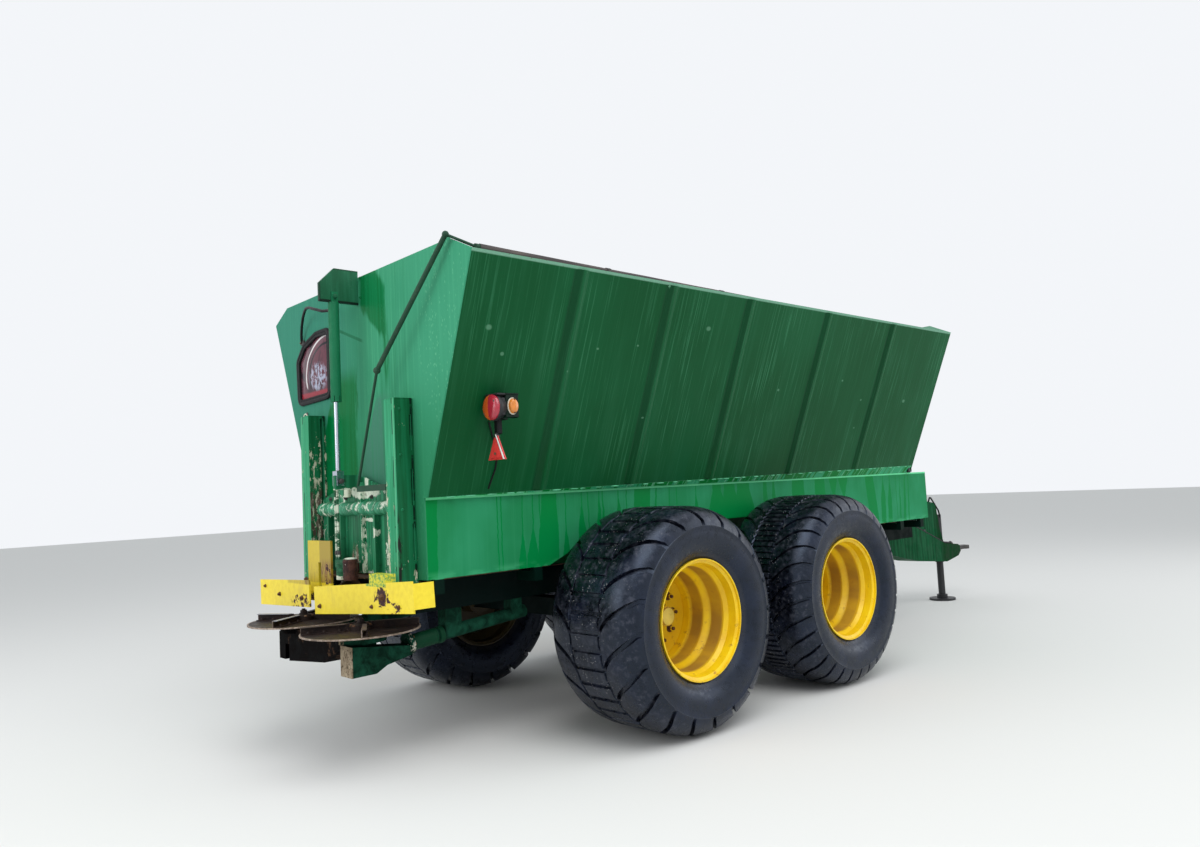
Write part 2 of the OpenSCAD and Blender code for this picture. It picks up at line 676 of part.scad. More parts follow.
// Hose along the drawbar's top line, from under the apron to the nose
bar_hose_r = 11;
function square_to(a, b) = let (u = unit(b - a)) [-u.y, u.x];
function lifted(p, n, m) = p + (bar_hose_r + seat) * (n + m) / (1 + n * m);
module bar_hose() {
    n = [for (i = [0 : 2]) square_to(BAR_TOP[i], BAR_TOP[i + 1])];
    far_y = drawbar_w / 2 - 22;
    a = BAR_TOP[0] + (bar_hose_r + seat) * n[0] + [0.5, 0];
    b = lifted(BAR_TOP[1], n[0], n[1]);
    c = lifted(BAR_TOP[2], n[1], n[2]);
    e = BAR_TOP[2] + 0.6 * (BAR_TOP[3] - BAR_TOP[2]) + (bar_hose_r + seat) * n[2];
    swept_tube([[a.x, far_y, a.y], [b.x, far_y, b.y], [c.x, far_y, c.y], [e.x, far_y - 26, e.y]], bar_hose_r, [0, 1, 0]);
}

module hoses() {
    color("#141414") from_tandem() {
        swept_tube(HOSE, 9, [1, 1, 0.3]);
        for (side = [-1, 1]) on_side(side) bar_hose();
        for (side = [-1, 1]) on_side(side)
            swept_tube([for (p = CABLE) [p[0], hw(p[1]) + cable_r * norm([1, lean]) + seat, p[1]]], cable_r, [0, 1, 0], 6);
    }
}

// Rolled cover inside the right side wall's rim, lower to the front, with its axis from one end to the other
roll_r = 22;
roll_y = top_hw - rim_w - roll_r - seat;
roll_a = [rear_x + 100, -roll_y, hopper_top_z + 28];
roll_b = [front_x - wall_t - 2 * seat, -roll_y, hopper_top_z - 25];
module tarp_roll() {
    color("#4c3c30") from_tandem() rod(roll_a, roll_b, 2 * roll_r);
}

// Crank of the rolled cover: its shaft over the rear wall's edge, the thick rod, its joint, the thin rod and clip
module tarp_crank() {
    plane_x = rear_x - 116;
    top = [rear_x - 34, -crest_w / 2 - 18, crest_z + 10];
    joint = [plane_x + 4, -410, 2181];
    foot = [plane_x, -156, 1543];
    collar_l = 26;
    collar_x = roll_a.x - 2 * seat;
    $fn = 12;
    color("#2c4a38") from_tandem() {
        rod(top, [collar_x - collar_l / 2, roll_a.y, roll_a.z], 16);
        translate([collar_x - collar_l, roll_a.y, roll_a.z]) rotate([0, 90, 0]) cylinder(d = 36, h = collar_l);
        rod(top, joint, 28);
        translate(top) sphere(d = 38);
        translate(joint) sphere(d = 42);
        rod(joint, foot, 16);
        block([plane_x - 4, -post_y + post_w / 2 + seat, 1510], [plane_x + 16, foot.y + 8, 1544]);
    }
}

// Spinner disc with its curved-looking straight vanes, hub and shaft
module spinner(side) {
    hub_r = 62;
    shaft_bottom = housing_top_z - 60;
    color("#5c4436") from_tandem() translate([spinner_x, side * spinner_y, 0]) {
        translate([0, 0, spinner_z - spinner_t]) cylinder(d = spinner_d, h = spinner_t, $fn = 96);
        translate([0, 0, spinner_z - 1]) cylinder(r = hub_r, h = 24);
        translate([0, 0, shaft_bottom]) cylinder(d = spinner_shaft_d, h = spinner_z - shaft_bottom);
        for (k = [0 : vanes - 1])
            rotate([0, 0, 360 * k / vanes + 30 * side])
                block([hub_r - 4, 14, spinner_z - 1], [spinner_d / 2 - 8, 20, spinner_z + vane_h]);
    }
}

housing_top_z = spinner_z - spinner_t - 14;
beam_top_z = 670;

// Gear case under the discs with its housings, and the arms, tubes and struts up to the chassis
module spinner_frame() {
    arm_y = rail_y - 6;
    arm_xb = spinner_x + 226;
    tube_d = 76;
    tube_xb = -1380;
    strut_xa = -1968;
    strut_w = 110;
    hanger_x = -1500;
    case_xa = spinner_x - 96;
    // each arm's side, its rear end and its edges along Y
    arms = [[-1, spinner_x - 133, 378, 502], [1, spinner_x - 96, 408, 492]];
    color("#4a4038") from_tandem() difference() {
        union() {
            for (side = [-1, 1]) {
                translate([spinner_x, side * spinner_y, beam_top_z - 120])
                    cylinder(d = housing_d, h = housing_top_z - beam_top_z + 120);
                translate([spinner_x, side * spinner_y, housing_top_z - 40]) cylinder(d = housing_d + 110, h = 40);
                on_side(side) {
                    rod([arm_xb - 8, arm_y, beam_top_z - 12], [tube_xb, arm_y, beam_top_z + 66], tube_d);
                    rod([arm_xb - 6, arm_y, beam_top_z - 12], [arm_xb + 18, arm_y, beam_top_z - 8], 122);
                    block([strut_xa, arm_y - 38, beam_top_z + 10], [strut_xa + strut_w, arm_y + 38, rail_bottom_z - 0.2]);
                    block([hanger_x, arm_y - 38, beam_top_z + 56], [hanger_x + 80, arm_y + 38, rail_bottom_z - 0.2]);
                }
            }
            for (arm = arms) on_side(arm[0])
                along_y(arm[2], arm[3]) polygon([
                    [arm[1], beam_top_z + 28], [arm_xb, beam_top_z - 15], [arm_xb, beam_top_z - 64],
                    [spinner_x + 73, beam_top_z - 96], [spinner_x + 10, beam_top_z - 130], [arm[1], beam_top_z - 132]]);
            // gear case, deeper under the left disc
            along_x(case_xa, spinner_x + 60) polygon([
                [-390, beam_top_z + 56], [-390, beam_top_z + 12], [-303, beam_top_z], [-108, beam_top_z - 97],
                [356, beam_top_z - 136], [356, beam_top_z + 30], [420, beam_top_z + 30], [420, beam_top_z + 56]]);
            block([case_xa, 350, beam_top_z - 40], [spinner_x + 60, 420, beam_top_z + 40]);
        }
        for (side = [-1, 1]) translate([spinner_x, side * spinner_y, housing_top_z - 66])
            cylinder(d = spinner_shaft_d + 2, h = 80);
    }
}

// The two yellow guard bars, the right one's side return, and the beam and arms that carry them
module guards() {
    arm_z = post_bottom_z + 8;
    back_x = guard_x + guard_t;
    right_tilt = 4;
    right_l = 1100;
    left_tilt = 2;
    left_l = 720;
    step = 34;
    color("gold") from_tandem() {
        translate([0, 130, guard_z]) rotate([-right_tilt, 0, 0]) {
            block([guard_x, -right_l, 0], [back_x, 0, guard_h]);
            block([guard_x, -right_l - guard_t, 18], [guard_x + 120, -right_l, guard_h - 12]);
        }
        translate([0, 200, guard_z + step]) rotate([-left_tilt, 0, 0])
            block([guard_x, 0, 0], [back_x, left_l, guard_h]);
        for (side = [-1, 1]) on_side(side)
            block([back_x - 1, post_y - 34, arm_z], [post_x - 0.3, post_y + 34, arm_z + 62]);
        block([post_x - 56, -post_y, arm_z], [post_x - 10, post_y, arm_z + 60]);
        block([back_x - 1, -post_y - 147, arm_z + 106], [back_x + 60, -post_y + 23, arm_z + 200]);
        // two-legged upright plate
        difference() {
            block([post_x - 48, 120, arm_z + 59], [post_x - 34, 424, 1230]);
            block([post_x - 49, 250, arm_z + 61], [post_x - 33, 284, 1100]);
        }
    }
}

// Lamp cluster on its bracket, with the three-cornered reflector under it
module lamp(side) {
    lamp_z = 1925;
    lamp_y = hw(lamp_z);
    x = -1944;
    color("#8c2018") from_tandem() on_side(side) {
        // bracket from the side wall
        block([x + 60, hw(lamp_z - 46) + 0.3, lamp_z - 60], [x + 150, lamp_y + 40, lamp_z - 46]);
        block([x + 60, lamp_y + 36, lamp_z - 60], [x + 150, lamp_y + 146, lamp_z + 76]);
        block([x + 30, lamp_y + 36, lamp_z + 64], [x + 60, lamp_y + 146, lamp_z + 76]);
        translate([x, lamp_y + 88, lamp_z]) rotate([0, 90, 0]) cylinder(d = 144, h = 62);
        translate([x + 104, lamp_y + 145, lamp_z + 4]) rotate([-90, 0, 0]) cylinder(d = 76, h = 26);
        // arm and reflector
        block([x + 40, lamp_y + 50, 1780], [x + 76, lamp_y + 90, lamp_z - 56]);
        along_x(x + 28, x + 40.5) polygon([
            [lamp_y + 70 - 78, 1642], [lamp_y + 70 + 78, 1642], [lamp_y + 70 + 8, 1782], [lamp_y + 70 - 8, 1782]]);
        block([x + 30, lamp_y + 58, 1770], [x + 60, lamp_y + 82, 1790]);
    }
}

// Top line of the drawbar as (x, z) points, from the apron to its nose
BAR_TOP = [[skirt_front_x, rail_top_z - cross_h], [bend_x, 866], [jack_x - 70, 640], [nose_reach - 60, eye_z + 59]];

// Tapered tongue from under the chassis to the nose, and the two plates that stand on it
module drawbar() {
    hw_bar = drawbar_w / 2;
    nose_hw = 75;
    under_z = rail_top_z - cross_h;
    root_x = skirt_front_x - 980;
    color("darkgreen") from_tandem() difference() {
        union() {
            intersection() {
                along_y(-hw_bar, hw_bar) polygon(concat([[root_x, under_z]], BAR_TOP, [
                    [nose_reach, eye_z + 35], [nose_reach, eye_z - 35],
                    [nose_reach - 60, eye_z - 72], [jack_x - 50, 436], [bend_x + 10, 500],
                    [skirt_front_x + 200, 622], [skirt_front_x - 230, 760], [root_x, under_z - 140]]));
                linear_extrude(height = 1200) polygon([
                    [root_x - 1, -hw_bar - 1], [jack_x - 100, -hw_bar - 1], [nose_reach + 1, -nose_hw],
                    [nose_reach + 1, nose_hw], [jack_x - 100, hw_bar + 1], [root_x - 1, hw_bar + 1]]);
            }
            for (side = [-1, 1]) on_side(side) along_y(54, 64) polygon([
                [bend_x + 115, 780], [bend_x + 150, 1140], [jack_x - 300, 1122], [jack_x - 130, 1095],
                [jack_x - 70, 800], [jack_x + 20, 612], [jack_x - 70, 626]]);
        }
        translate([jack_x, 0, 300]) cylinder(d = jack_tube_d + 0.6, h = 500);
    }
}

module hitch_eye() {
    color("#3a3a3a") from_tandem() difference() {
        union() {
            translate([eye_x, 0, eye_z]) cylinder(d = eye_d, h = eye_t, center = true);
            block([nose_reach + seat, -35, eye_z - eye_t / 2], [nose_reach + neck_l + 10, 35, eye_z + eye_t / 2]);
            translate([nose_reach + 8.2, 0, eye_z]) cube([16, 150, 66], center = true);
        }
        translate([eye_x, 0, eye_z]) cylinder(d = eye_bore, h = eye_t + 2, center = true);
    }
}

// Jack: fixed tube through the nose, with its winding handle
module jack_tube() {
    low_z = 426;
    high_z = 960;
    color("#26282a") from_tandem() translate([jack_x, 0, 0]) {
        difference() {
            translate([0, 0, low_z]) cylinder(d = jack_tube_d, h = high_z - low_z);
            translate([0, 0, low_z - 1]) cylinder(d = jack_leg_d + 2 * jack_gap, h = high_z - low_z - 14);
        }
        rod([0, 40, high_z - 30], [0, 130, high_z - 30], 20);
        rod([0, 120, high_z - 30], [0, 120, high_z - 130], 14);
    }
}

module jack_leg() {
    color("#141416") from_tandem() translate([jack_x, 0, 0]) {
        cylinder(d = jack_foot_d, h = 22);
        translate([0, 0, 21]) cylinder(d = jack_leg_d + 40, h = 40);
        cylinder(d = jack_leg_d, h = 560);
    }
}

// Input gearbox on the apron with its splined shaft stub
module pto_input() {
    box_z = 1240;
    box_l = 150;
    shaft_d = 34.9;
    color("#5a5a58") from_tandem() {
        block([skirt_front_x + 0.3, -95, box_z - 95], [skirt_front_x + box_l, 95, box_z + 95]);
        translate([skirt_front_x + box_l - 1, 0, box_z]) rotate([0, 90, 0]) cylinder(d = shaft_d, h = 91);
    }
}

side_wall(-1);  // side_wall_right
side_wall(1);  // side_wall_left
rear_wall();
front_wall();
floor_conveyor();
skirt(-1);  // skirt_right
skirt(1);  // skirt_left
front_apron();
chassis_rail(-1);  // chassis_rail_right
chassis_rail(1);  // chassis_rail_left
cross_members();
bogie(-1);  // bogie_right
bogie(1);  // bogie_left
axle(axle_x);  // axle_front
axle(-axle_x);  // axle_rear
tyre(axle_x, -1);  // tyre_front_right
tyre(axle_x, 1);  // tyre_front_left
tyre(-axle_x, -1);  // tyre_rear_right
tyre(-axle_x, 1);  // tyre_rear_left
rim(axle_x, -1);  // rim_front_right
rim(axle_x, 1);  // rim_front_left
rim(-axle_x, -1);  // rim_rear_right
rim(-axle_x, 1);  // rim_rear_left
gate_posts();
gate();
gate_motor();
gate_rod();
gate_barrel();
cylinder_bracket();
hoses();
window_frame();
window_pane();
tarp_roll();
tarp_crank();
spinner(-1);  // spinner_right
spinner(1);  // spinner_left
spinner_frame();
guards();
lamp(-1);  // lamp_right
lamp(1);  // lamp_left
drawbar();
hitch_eye();
jack_tube();
jack_leg();
pto_input();
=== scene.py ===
import random
from math import cos, hypot, pi, radians, sin, tan

import bmesh
import bpy
from mathutils import Matrix, Vector


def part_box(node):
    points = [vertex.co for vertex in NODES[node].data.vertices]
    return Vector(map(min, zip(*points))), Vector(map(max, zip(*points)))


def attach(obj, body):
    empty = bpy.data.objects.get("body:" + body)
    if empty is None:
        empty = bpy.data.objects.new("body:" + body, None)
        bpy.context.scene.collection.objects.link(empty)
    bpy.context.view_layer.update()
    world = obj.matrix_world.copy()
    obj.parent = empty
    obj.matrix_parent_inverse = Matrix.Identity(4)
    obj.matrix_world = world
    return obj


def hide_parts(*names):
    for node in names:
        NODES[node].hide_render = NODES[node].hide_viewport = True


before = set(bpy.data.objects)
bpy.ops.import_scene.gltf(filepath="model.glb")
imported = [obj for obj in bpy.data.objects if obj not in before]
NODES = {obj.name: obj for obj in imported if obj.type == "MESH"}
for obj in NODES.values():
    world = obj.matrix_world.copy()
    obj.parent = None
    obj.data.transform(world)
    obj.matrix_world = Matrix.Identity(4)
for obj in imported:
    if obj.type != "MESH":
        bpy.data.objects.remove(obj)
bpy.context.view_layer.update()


def middle_of(node, axis):
    lo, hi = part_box(node)
    return (lo[axis] + hi[axis]) / 2


# Places read from the frame, in metres
AXLE_X = {end: middle_of("axle_" + end, 0) for end in ("front", "rear")}
TANDEM_X = (AXLE_X["front"] + AXLE_X["rear"]) / 2
WHEEL_Z = middle_of("tyre_front_right", 2)
TYRE_Y = middle_of("tyre_front_left", 1)
RIM_HALF_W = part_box("rim_front_left")[1].y - TYRE_Y
REAR_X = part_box("rear_wall")[0].x
SKIRT_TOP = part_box("skirt_right")[1].z
WALL_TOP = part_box("side_wall_right")[1].z
POST_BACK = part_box("gate_posts")[0].x
CYLINDER_X = middle_of("gate_rod", 0)
SPINNER_X = middle_of("spinner_right", 0)
SPINNER_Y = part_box("spinner_left")[0].y + 0.32
SPINNER_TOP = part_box("spinner_left")[1].z - 0.038

# Places repeated from the part's source, in metres
WALL_L = 5.28
SKIRT_BOTTOM = 1.014
FOOT = ((0.706, 1.461), (1.204, WALL_TOP))
FOOT_RISE = 0.066
RIBS = (0.772, 1.532, 2.330, 3.290, 4.260)
RIM_DISH = 0.400
POST_Y, POST_HALF_W, POST_TOP = 0.533, 0.057, 2.006
GATE_FACE = REAR_X - 0.031
GATE_LUG_Z = 1.598
BARREL_TOP, BARREL_L = 2.640, 0.594
PIPE_LOW, PIPE_TOP = 1.116, 1.582
MOTOR_Y, VALVE_Y, MOTOR_LOW = -0.062, 0.032, 1.006
TUBE = ((-2.202, 0.454, 0.658), (-1.380, 0.454, 0.736))
BOGIE_Y, BOGIE_HALF_W, BOGIE_Z = 0.460, 0.040, 0.762
BAR_HOSE_END = (5.108, 0.072, 0.630)

X, Y, Z = Vector((1, 0, 0)), Vector((0, 1, 0)), Vector((0, 0, 1))
SIGN = {"right": -1, "left": 1}


def srgb(r, g, b):
    """A linear colour from one as seen, in numbers from 0 to 255."""
    def lin(v):
        v /= 255
        return v / 12.92 if v <= 0.04045 else ((v + 0.055) / 1.055) ** 2.4
    return (lin(r), lin(g), lin(b), 1.0)


def darker(color, share):
    return [v * share for v in color[:3]] + [1]


class Value:
    """What a node puts out; arithmetic with it adds the nodes that do it."""

    def __init__(self, graph, socket):
        self.graph = graph
        self.socket = socket

    def __add__(self, other):
        return self.graph.math("ADD", self, other)

    def __radd__(self, other):
        return self.graph.math("ADD", other, self)

    def __sub__(self, other):
        return self.graph.math("SUBTRACT", self, other)

    def __rsub__(self, other):
        return self.graph.math("SUBTRACT", other, self)

    def __mul__(self, other):
        return self.graph.math("MULTIPLY", self, other)

    def __truediv__(self, other):
        return self.graph.math("DIVIDE", self, other)

    def __abs__(self):
        return self.graph.math("ABSOLUTE", self)


class Tree:
    """A node tree, with short ways to add its nodes."""

    def __init__(self, tree):
        self.tree = tree
        tree.nodes.clear()

    def feed(self, socket, value):
        if isinstance(value, Value):
            self.tree.links.new(value.socket, socket)
        else:
            socket.default_value = value

    def add(self, kind, inputs=(), out=0, **settings):
        """Adds a node and gives one of its outputs; an input of None stays as it is."""
        node = self.tree.nodes.new(kind)
        for key, value in settings.items():
            setattr(node, key, value)
        pairs = inputs.items() if isinstance(inputs, dict) else enumerate(inputs)
        for key, value in pairs:
            if value is not None:
                self.feed(node.inputs[key], value)
        return Value(self, node.outputs[out]) if node.outputs else None

    def math(self, operation, a, b=None):
        return self.add("ShaderNodeMath", [a, b], operation=operation)

    def any_of(self, masks):
        whole = masks[0]
        for mask in masks[1:]:
            whole = self.math("MAXIMUM", whole, mask)
        return whole


class Graph(Tree):
    """A material; its color is what is painted so far."""

    def __init__(self, name):
        self.material = bpy.data.materials.new(name)
        self.material.use_nodes = True
        super().__init__(self.material.node_tree)
        output = self.tree.nodes.new("ShaderNodeOutputMaterial")
        self.shader = self.tree.nodes.new("ShaderNodeBsdfPrincipled")
        self.tree.links.new(self.shader.outputs[0], output.inputs["Surface"])
        self.color = None
        self.place = self.add("ShaderNodeTexCoord", out="Object")
        self.x, self.y, self.z = self.split(self.place)

    def split(self, vector):
        node = self.tree.nodes.new("ShaderNodeSeparateXYZ")
        self.feed(node.inputs[0], vector)
        return [Value(self, socket) for socket in node.outputs]

    def reach(self, a, b):
        """The distance to a place that is a and b away along two directions."""
        return self.math("SQRT", a * a + b * b)

    def scaled(self, scale, shift=(0, 0, 0)):
        scale = scale if isinstance(scale, tuple) else (scale,) * 3
        return self.add("ShaderNodeMapping", {"Vector": self.place, "Location": shift, "Scale": scale})

    def noise(self, scale, detail=4, rough=0.55, shift=(0, 0, 0), warp=0.0):
        """Cloudy values about 0.5; the scale is one number or one for each direction."""
        inputs = {"Vector": self.scaled(scale, shift), "Scale": 1.0, "Detail": detail,
                  "Roughness": rough, "Distortion": warp}
        return self.add("ShaderNodeTexNoise", inputs, "Fac")

    def cells(self, scale):
        inputs = {"Vector": self.scaled(scale), "Scale": 1.0}
        return self.add("ShaderNodeTexVoronoi", inputs, "Distance")

    def step(self, value, low, high, to_low=0.0, to_high=1.0, kind="SMOOTHSTEP"):
        inputs = {"Value": value, "From Min": low, "From Max": high, "To Min": to_low, "To Max": to_high}
        return self.add("ShaderNodeMapRange", inputs, "Result", interpolation_type=kind)

    def line(self, *numbers):
        return self.step(*numbers, kind="LINEAR")

    def fall(self, value, low, high):
        return self.step(value, low, high, 1.0, 0.0)

    def band(self, value, low, high, soft):
        return self.step(value, low - soft, low + soft) * self.fall(value, high - soft, high + soft)

    def blob(self, centre, size, soft=0.25, torn=None):
        """1 in an ellipse about a place and 0 outside it; a size of 0 leaves that direction out."""
        away = self.add("ShaderNodeVectorMath", [self.place, centre], operation="SUBTRACT")
        scale = tuple(1 / v if v else 0.0 for v in size)
        away = self.add("ShaderNodeVectorMath", [away, scale], operation="MULTIPLY")
        far = self.add("ShaderNodeVectorMath", [away], "Value", operation="LENGTH")
        return self.fall(far if torn is None else far + torn, 1 - soft, 1 + soft)

    def facing(self):
        """How far the surface faces along X, Y and Z."""
        return self.split(self.add("ShaderNodeNewGeometry", out="True Normal"))

    def mix(self, share, a, b):
        """From a to b; a colour is a value, a linear colour, or three numbers from 0 to 255."""
        a, b = (srgb(*c) if isinstance(c, tuple) and len(c) == 3 else c for c in (a, b))
        return self.add("ShaderNodeMix", {0: share, 6: a, 7: b}, 2, data_type="RGBA")

    def grade(self, value, low, high, a, b):
        return self.mix(self.step(value, low, high), a, b)

    def over(self, share, paint):
        """Paints over what is there."""
        self.color = self.mix(share, self.color, paint)

    def bump(self, height, strength, distance, under=None):
        inputs = {"Strength": strength, "Distance": distance, "Height": height, "Normal": under}
        return self.add("ShaderNodeBump", inputs)

    def finish(self, rough, normal=None, shine=None, **more):
        named = {"Base Color": self.color, "Roughness": rough, "Normal": normal,
                 "Specular_IOR_Level": shine}
        for key, value in {**named, **more}.items():
            if value is not None:
                self.feed(self.shader.inputs[key.replace("_", " ")], value)
        return self.material


# Wet runs on the skirts: place and half width at the top, the same at the bottom, and the height
# where it widens
RUNS = [
    (-2.150, 0.040, -2.155, 0.036, 1.44), (-1.710, 0.0045, -1.710, 0.0045, 1.44),
    (-1.682, 0.0045, -1.682, 0.0045, 1.44), (-1.524, 0.004, -1.538, 0.028, 1.22),
    (-1.446, 0.0045, -1.460, 0.045, 1.24), (-1.395, 0.0045, -1.400, 0.0045, 1.44),
    (-1.318, 0.060, -1.340, 0.080, 1.36), (-1.190, 0.0045, -1.195, 0.030, 1.22),
    (-1.053, 0.0045, -1.066, 0.032, 1.36), (-1.000, 0.0045, -1.000, 0.004, 1.44),
    (-0.902, 0.0045, -0.919, 0.020, 1.40), (-0.873, 0.0045, -0.873, 0.012, 1.40),
    (-0.733, 0.0045, -0.731, 0.032, 1.39), (-0.660, 0.0045, -0.660, 0.0045, 1.44),
    (-0.505, 0.078, -0.530, 0.078, 1.44), (-0.372, 0.006, -0.395, 0.010, 1.44),
    (-0.243, 0.0045, -0.243, 0.0045, 1.44), (-0.169, 0.0045, -0.169, 0.0045, 1.44),
    (0.040, 0.0045, 0.030, 0.030, 1.38), (0.267, 0.046, 0.280, 0.110, 1.40),
    (0.412, 0.064, 0.430, 0.110, 1.40), (0.578, 0.074, 0.590, 0.120, 1.40),
    (0.850, 0.022, 0.850, 0.030, 1.44), (0.960, 0.012, 0.955, 0.030, 1.42),
    (1.290, 0.080, 1.290, 0.090, 1.44), (1.600, 0.070, 1.600, 0.080, 1.44),
    (1.805, 0.060, 1.800, 0.004, 1.42), (1.960, 0.070, 1.960, 0.004, 1.42),
    (2.388, 0.070, 2.440, 0.074, 1.44), (2.628, 0.005, 2.602, 0.040, 1.40),
    (2.745, 0.006, 2.716, 0.036, 1.38), (2.856, 0.004, 2.850, 0.004, 1.44),
    (2.925, 0.004, 2.905, 0.012, 1.34), (3.025, 0.010, 2.985, 0.022, 1.36),
    (3.092, 0.008, 3.060, 0.012, 1.32),
]


def skirt_paint():
    """Light green skirts with crisp wet runs that start as threads at the top edge and widen downwards."""
    g = Graph("skirt_paint")
    patch = g.noise((2.2, 1.5, 1.6), 3, shift=(3, 1, 2))
    g.color = g.grade(patch, 0.35, 0.68, (32, 128, 79), (45, 142, 97))
    fine = g.noise((46, 2, 1.0), 4, 0.6)
    g.over(g.step(fine, 0.52, 0.72, 0.0, 0.10), (70, 164, 120))
    g.over(g.step(fine, 0.30, 0.44, 0.10, 0.0), (12, 112, 62))
    ragged = (g.noise((3, 1, 7), 4, 0.7) - 0.5) * 0.03
    x = g.x - TANDEM_X + ragged
    masks = []
    for top_x, top_half, low_x, low_half, widens in RUNS:
        middle = g.line(g.z, 1.05, 1.44, low_x, top_x)
        away = abs(x - middle)
        half = g.line(g.z, widens - 0.16, widens, low_half, top_half)
        masks.append(g.step(half - away, -0.0025, 0.0025))
    wet = g.any_of(masks)
    soaked = g.grade(g.z, 1.1, 1.42, (0, 126, 62), (0, 124, 58))
    g.over(wet * 0.96, soaked)
    # painted highlight: a bright line along the skirt's top edge
    edge = g.step(g.z, SKIRT_TOP - 0.015, SKIRT_TOP - 0.011)
    g.over(edge * 0.9, (116, 228, 166))
    low = g.fall(g.z, SKIRT_BOTTOM + 0.002, SKIRT_BOTTOM + 0.05)
    low = low * g.step(g.noise((7, 7, 20), 5), 0.42, 0.6)
    g.over(low * 0.4, (80, 184, 130))
    inner = g.fall(abs(g.y), 0.650, 0.660)
    below = g.fall(g.z, SKIRT_BOTTOM - 0.004, SKIRT_BOTTOM - 0.001)
    behind = g.fall(g.x, REAR_X + 5.30, REAR_X + 5.31)
    shade = g.any_of([inner * behind, below])
    g.over(shade, (6, 28, 22))
    wavy = g.bump(g.noise((2.0, 2.2, 1.6), 2), 0.2, 0.008)
    return g.finish(g.step(wet, 0, 1, 0.5, 0.34), g.bump(fine, 0.12, 0.001, wavy), shine=0.05)


def rear_paint():
    """Sea green rear wall: rain streaks, two dark wet areas under the cylinder, droplets at its right."""
    g = Graph("rear_paint")
    patch = g.noise((1.6, 1.6, 1.1), 3, shift=(3, 1, 2))
    g.color = g.grade(patch, 0.35, 0.7, (48, 132, 97), (60, 146, 109))
    # painted reflection: a lighter bluish sheen of the sky over the wall's left part
    left = g.step(g.y, -0.15, 0.5)
    g.over(left * 0.75, (55, 126, 109))
    fine = g.noise((3, 42, 0.8), 5, 0.62)
    right = g.step(g.y, -0.25, 0.0, 1.0, 0.35)
    g.over(g.step(fine, 0.50, 0.68) * (right * 0.5), (82, 172, 130))
    g.over(g.fall(fine, 0.32, 0.46) * (right * 0.6), (34, 118, 76))
    g.over(g.step(g.y, -0.75, -0.30, 0.7, 0.0), (66, 154, 118))
    low = g.fall(g.z, 1.50, 2.25)
    g.over(low * 0.6, (25, 108, 64))
    ragged = (g.noise((3, 16, 3), 5, 0.65) - 0.5) * 0.16
    y = g.y + ragged
    # under the bracket: its left and right edges lean to the right on the way down
    left_edge = g.step(g.z, 2.36, 2.66, -0.285, -0.02)
    right_edge = g.step(g.z, 2.66, 2.84, -0.335, -0.22)
    run = g.step(left_edge - y, -0.02, 0.03) * g.step(y - right_edge, -0.02, 0.03)
    run = run * g.step(g.z, 2.06, 2.22)
    pool_edge = g.line(g.z, 1.9, 2.2, 0.52, 0.29)
    pool = g.step(y, 0.03, 0.07) * g.step(pool_edge - y, -0.02, 0.02)
    pool = pool * g.fall(g.z, 2.16, 2.30)
    dark = g.any_of([run * 0.9, pool])
    g.over(dark, g.grade(fine, 0.4, 0.6, (0, 98, 46), (2, 110, 60)))
    # greyer streaks between the crank's thin rod and the post
    rod_line = g.line(g.z, 1.575, 2.058, 0.046, -0.190)
    grey = g.step(rod_line - g.y, -0.006, 0.006) * g.step(g.y, -0.36, -0.26)
    grey = grey * g.fall(g.z, 2.02, 2.10)
    g.over(grey * g.step(fine, 0.34, 0.56, 0.3, 0.95), (66, 124, 102))
    # painted shadow of the hose: a thin dark line just below it
    line = 2.430 + g.y * 0.374
    hose_shadow = g.fall(abs(g.z - line), 0.006, 0.014) * g.band(g.y, -0.04, 0.30, 0.02)
    g.over(hose_shadow * 0.7, (24, 100, 66))
    drop = g.fall(g.cells((90, 76, 30)), 0.16, 0.30)
    some = g.step(g.noise((9, 14, 5), shift=(5, 0, 7)), 0.46, 0.58) * g.step(g.y, -0.78, -0.62, 1.0, 0.12)
    g.over(drop * some * 0.5, (112, 190, 150))
    height = fine * 0.25 + drop * 0.5
    wavy = g.bump(g.noise((2.2, 2.2, 1.8), 2), 0.2, 0.008)
    return g.finish(g.step(dark, 0, 1, 0.5, 0.36), g.bump(height, 0.18, 0.0012, wavy), shine=0.05)


def bracket_paint():
    g = Graph("bracket_paint")
    fine = g.noise((20, 20, 2), 5, 0.62)
    g.color = g.grade(fine, 0.36, 0.66, (20, 82, 54), (34, 102, 72))
    worn = g.step(g.noise(40, 6, 0.7, shift=(2, 2, 2)), 0.62, 0.70)
    g.over(worn * 0.5, (70, 120, 96))
    lo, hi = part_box("cylinder_bracket")
    # painted shade: dark lines along the bracket's bottom, back and top edges
    shaded_edges = [g.fall(g.z, lo.z + 0.010, lo.z + 0.016), g.step(g.x, lo.x + 0.006, lo.x + 0.010, 0.7, 0.0),
            g.step(g.z, hi.z - 0.010, hi.z - 0.006, 0.0, 0.5)]
    g.over(g.any_of(shaded_edges), (8, 30, 22))
    return g.finish(0.45, g.bump(fine, 0.2, 0.001), shine=0.18)


# Pale spots on the right side wall, as places along X from the tandem, heights and sizes
SPOTS = [
    (-1.991, 2.345, 0.030, 0.022), (-1.873, 2.217, 0.020, 0.016), (-1.185, 2.289, 0.015, 0.010),
    (-0.858, 2.329, 0.014, 0.009), (-0.239, 2.479, 0.034, 0.022), (0.697, 2.121, 0.020, 0.014),
    (1.521, 2.224, 0.018, 0.012), (1.875, 2.084, 0.018, 0.012), (2.583, 2.095, 0.034, 0.022),
    (-1.394, 2.148, 0.013, 0.009), (-0.686, 1.898, 0.013, 0.009), (1.884, 1.858, 0.015, 0.010),
]


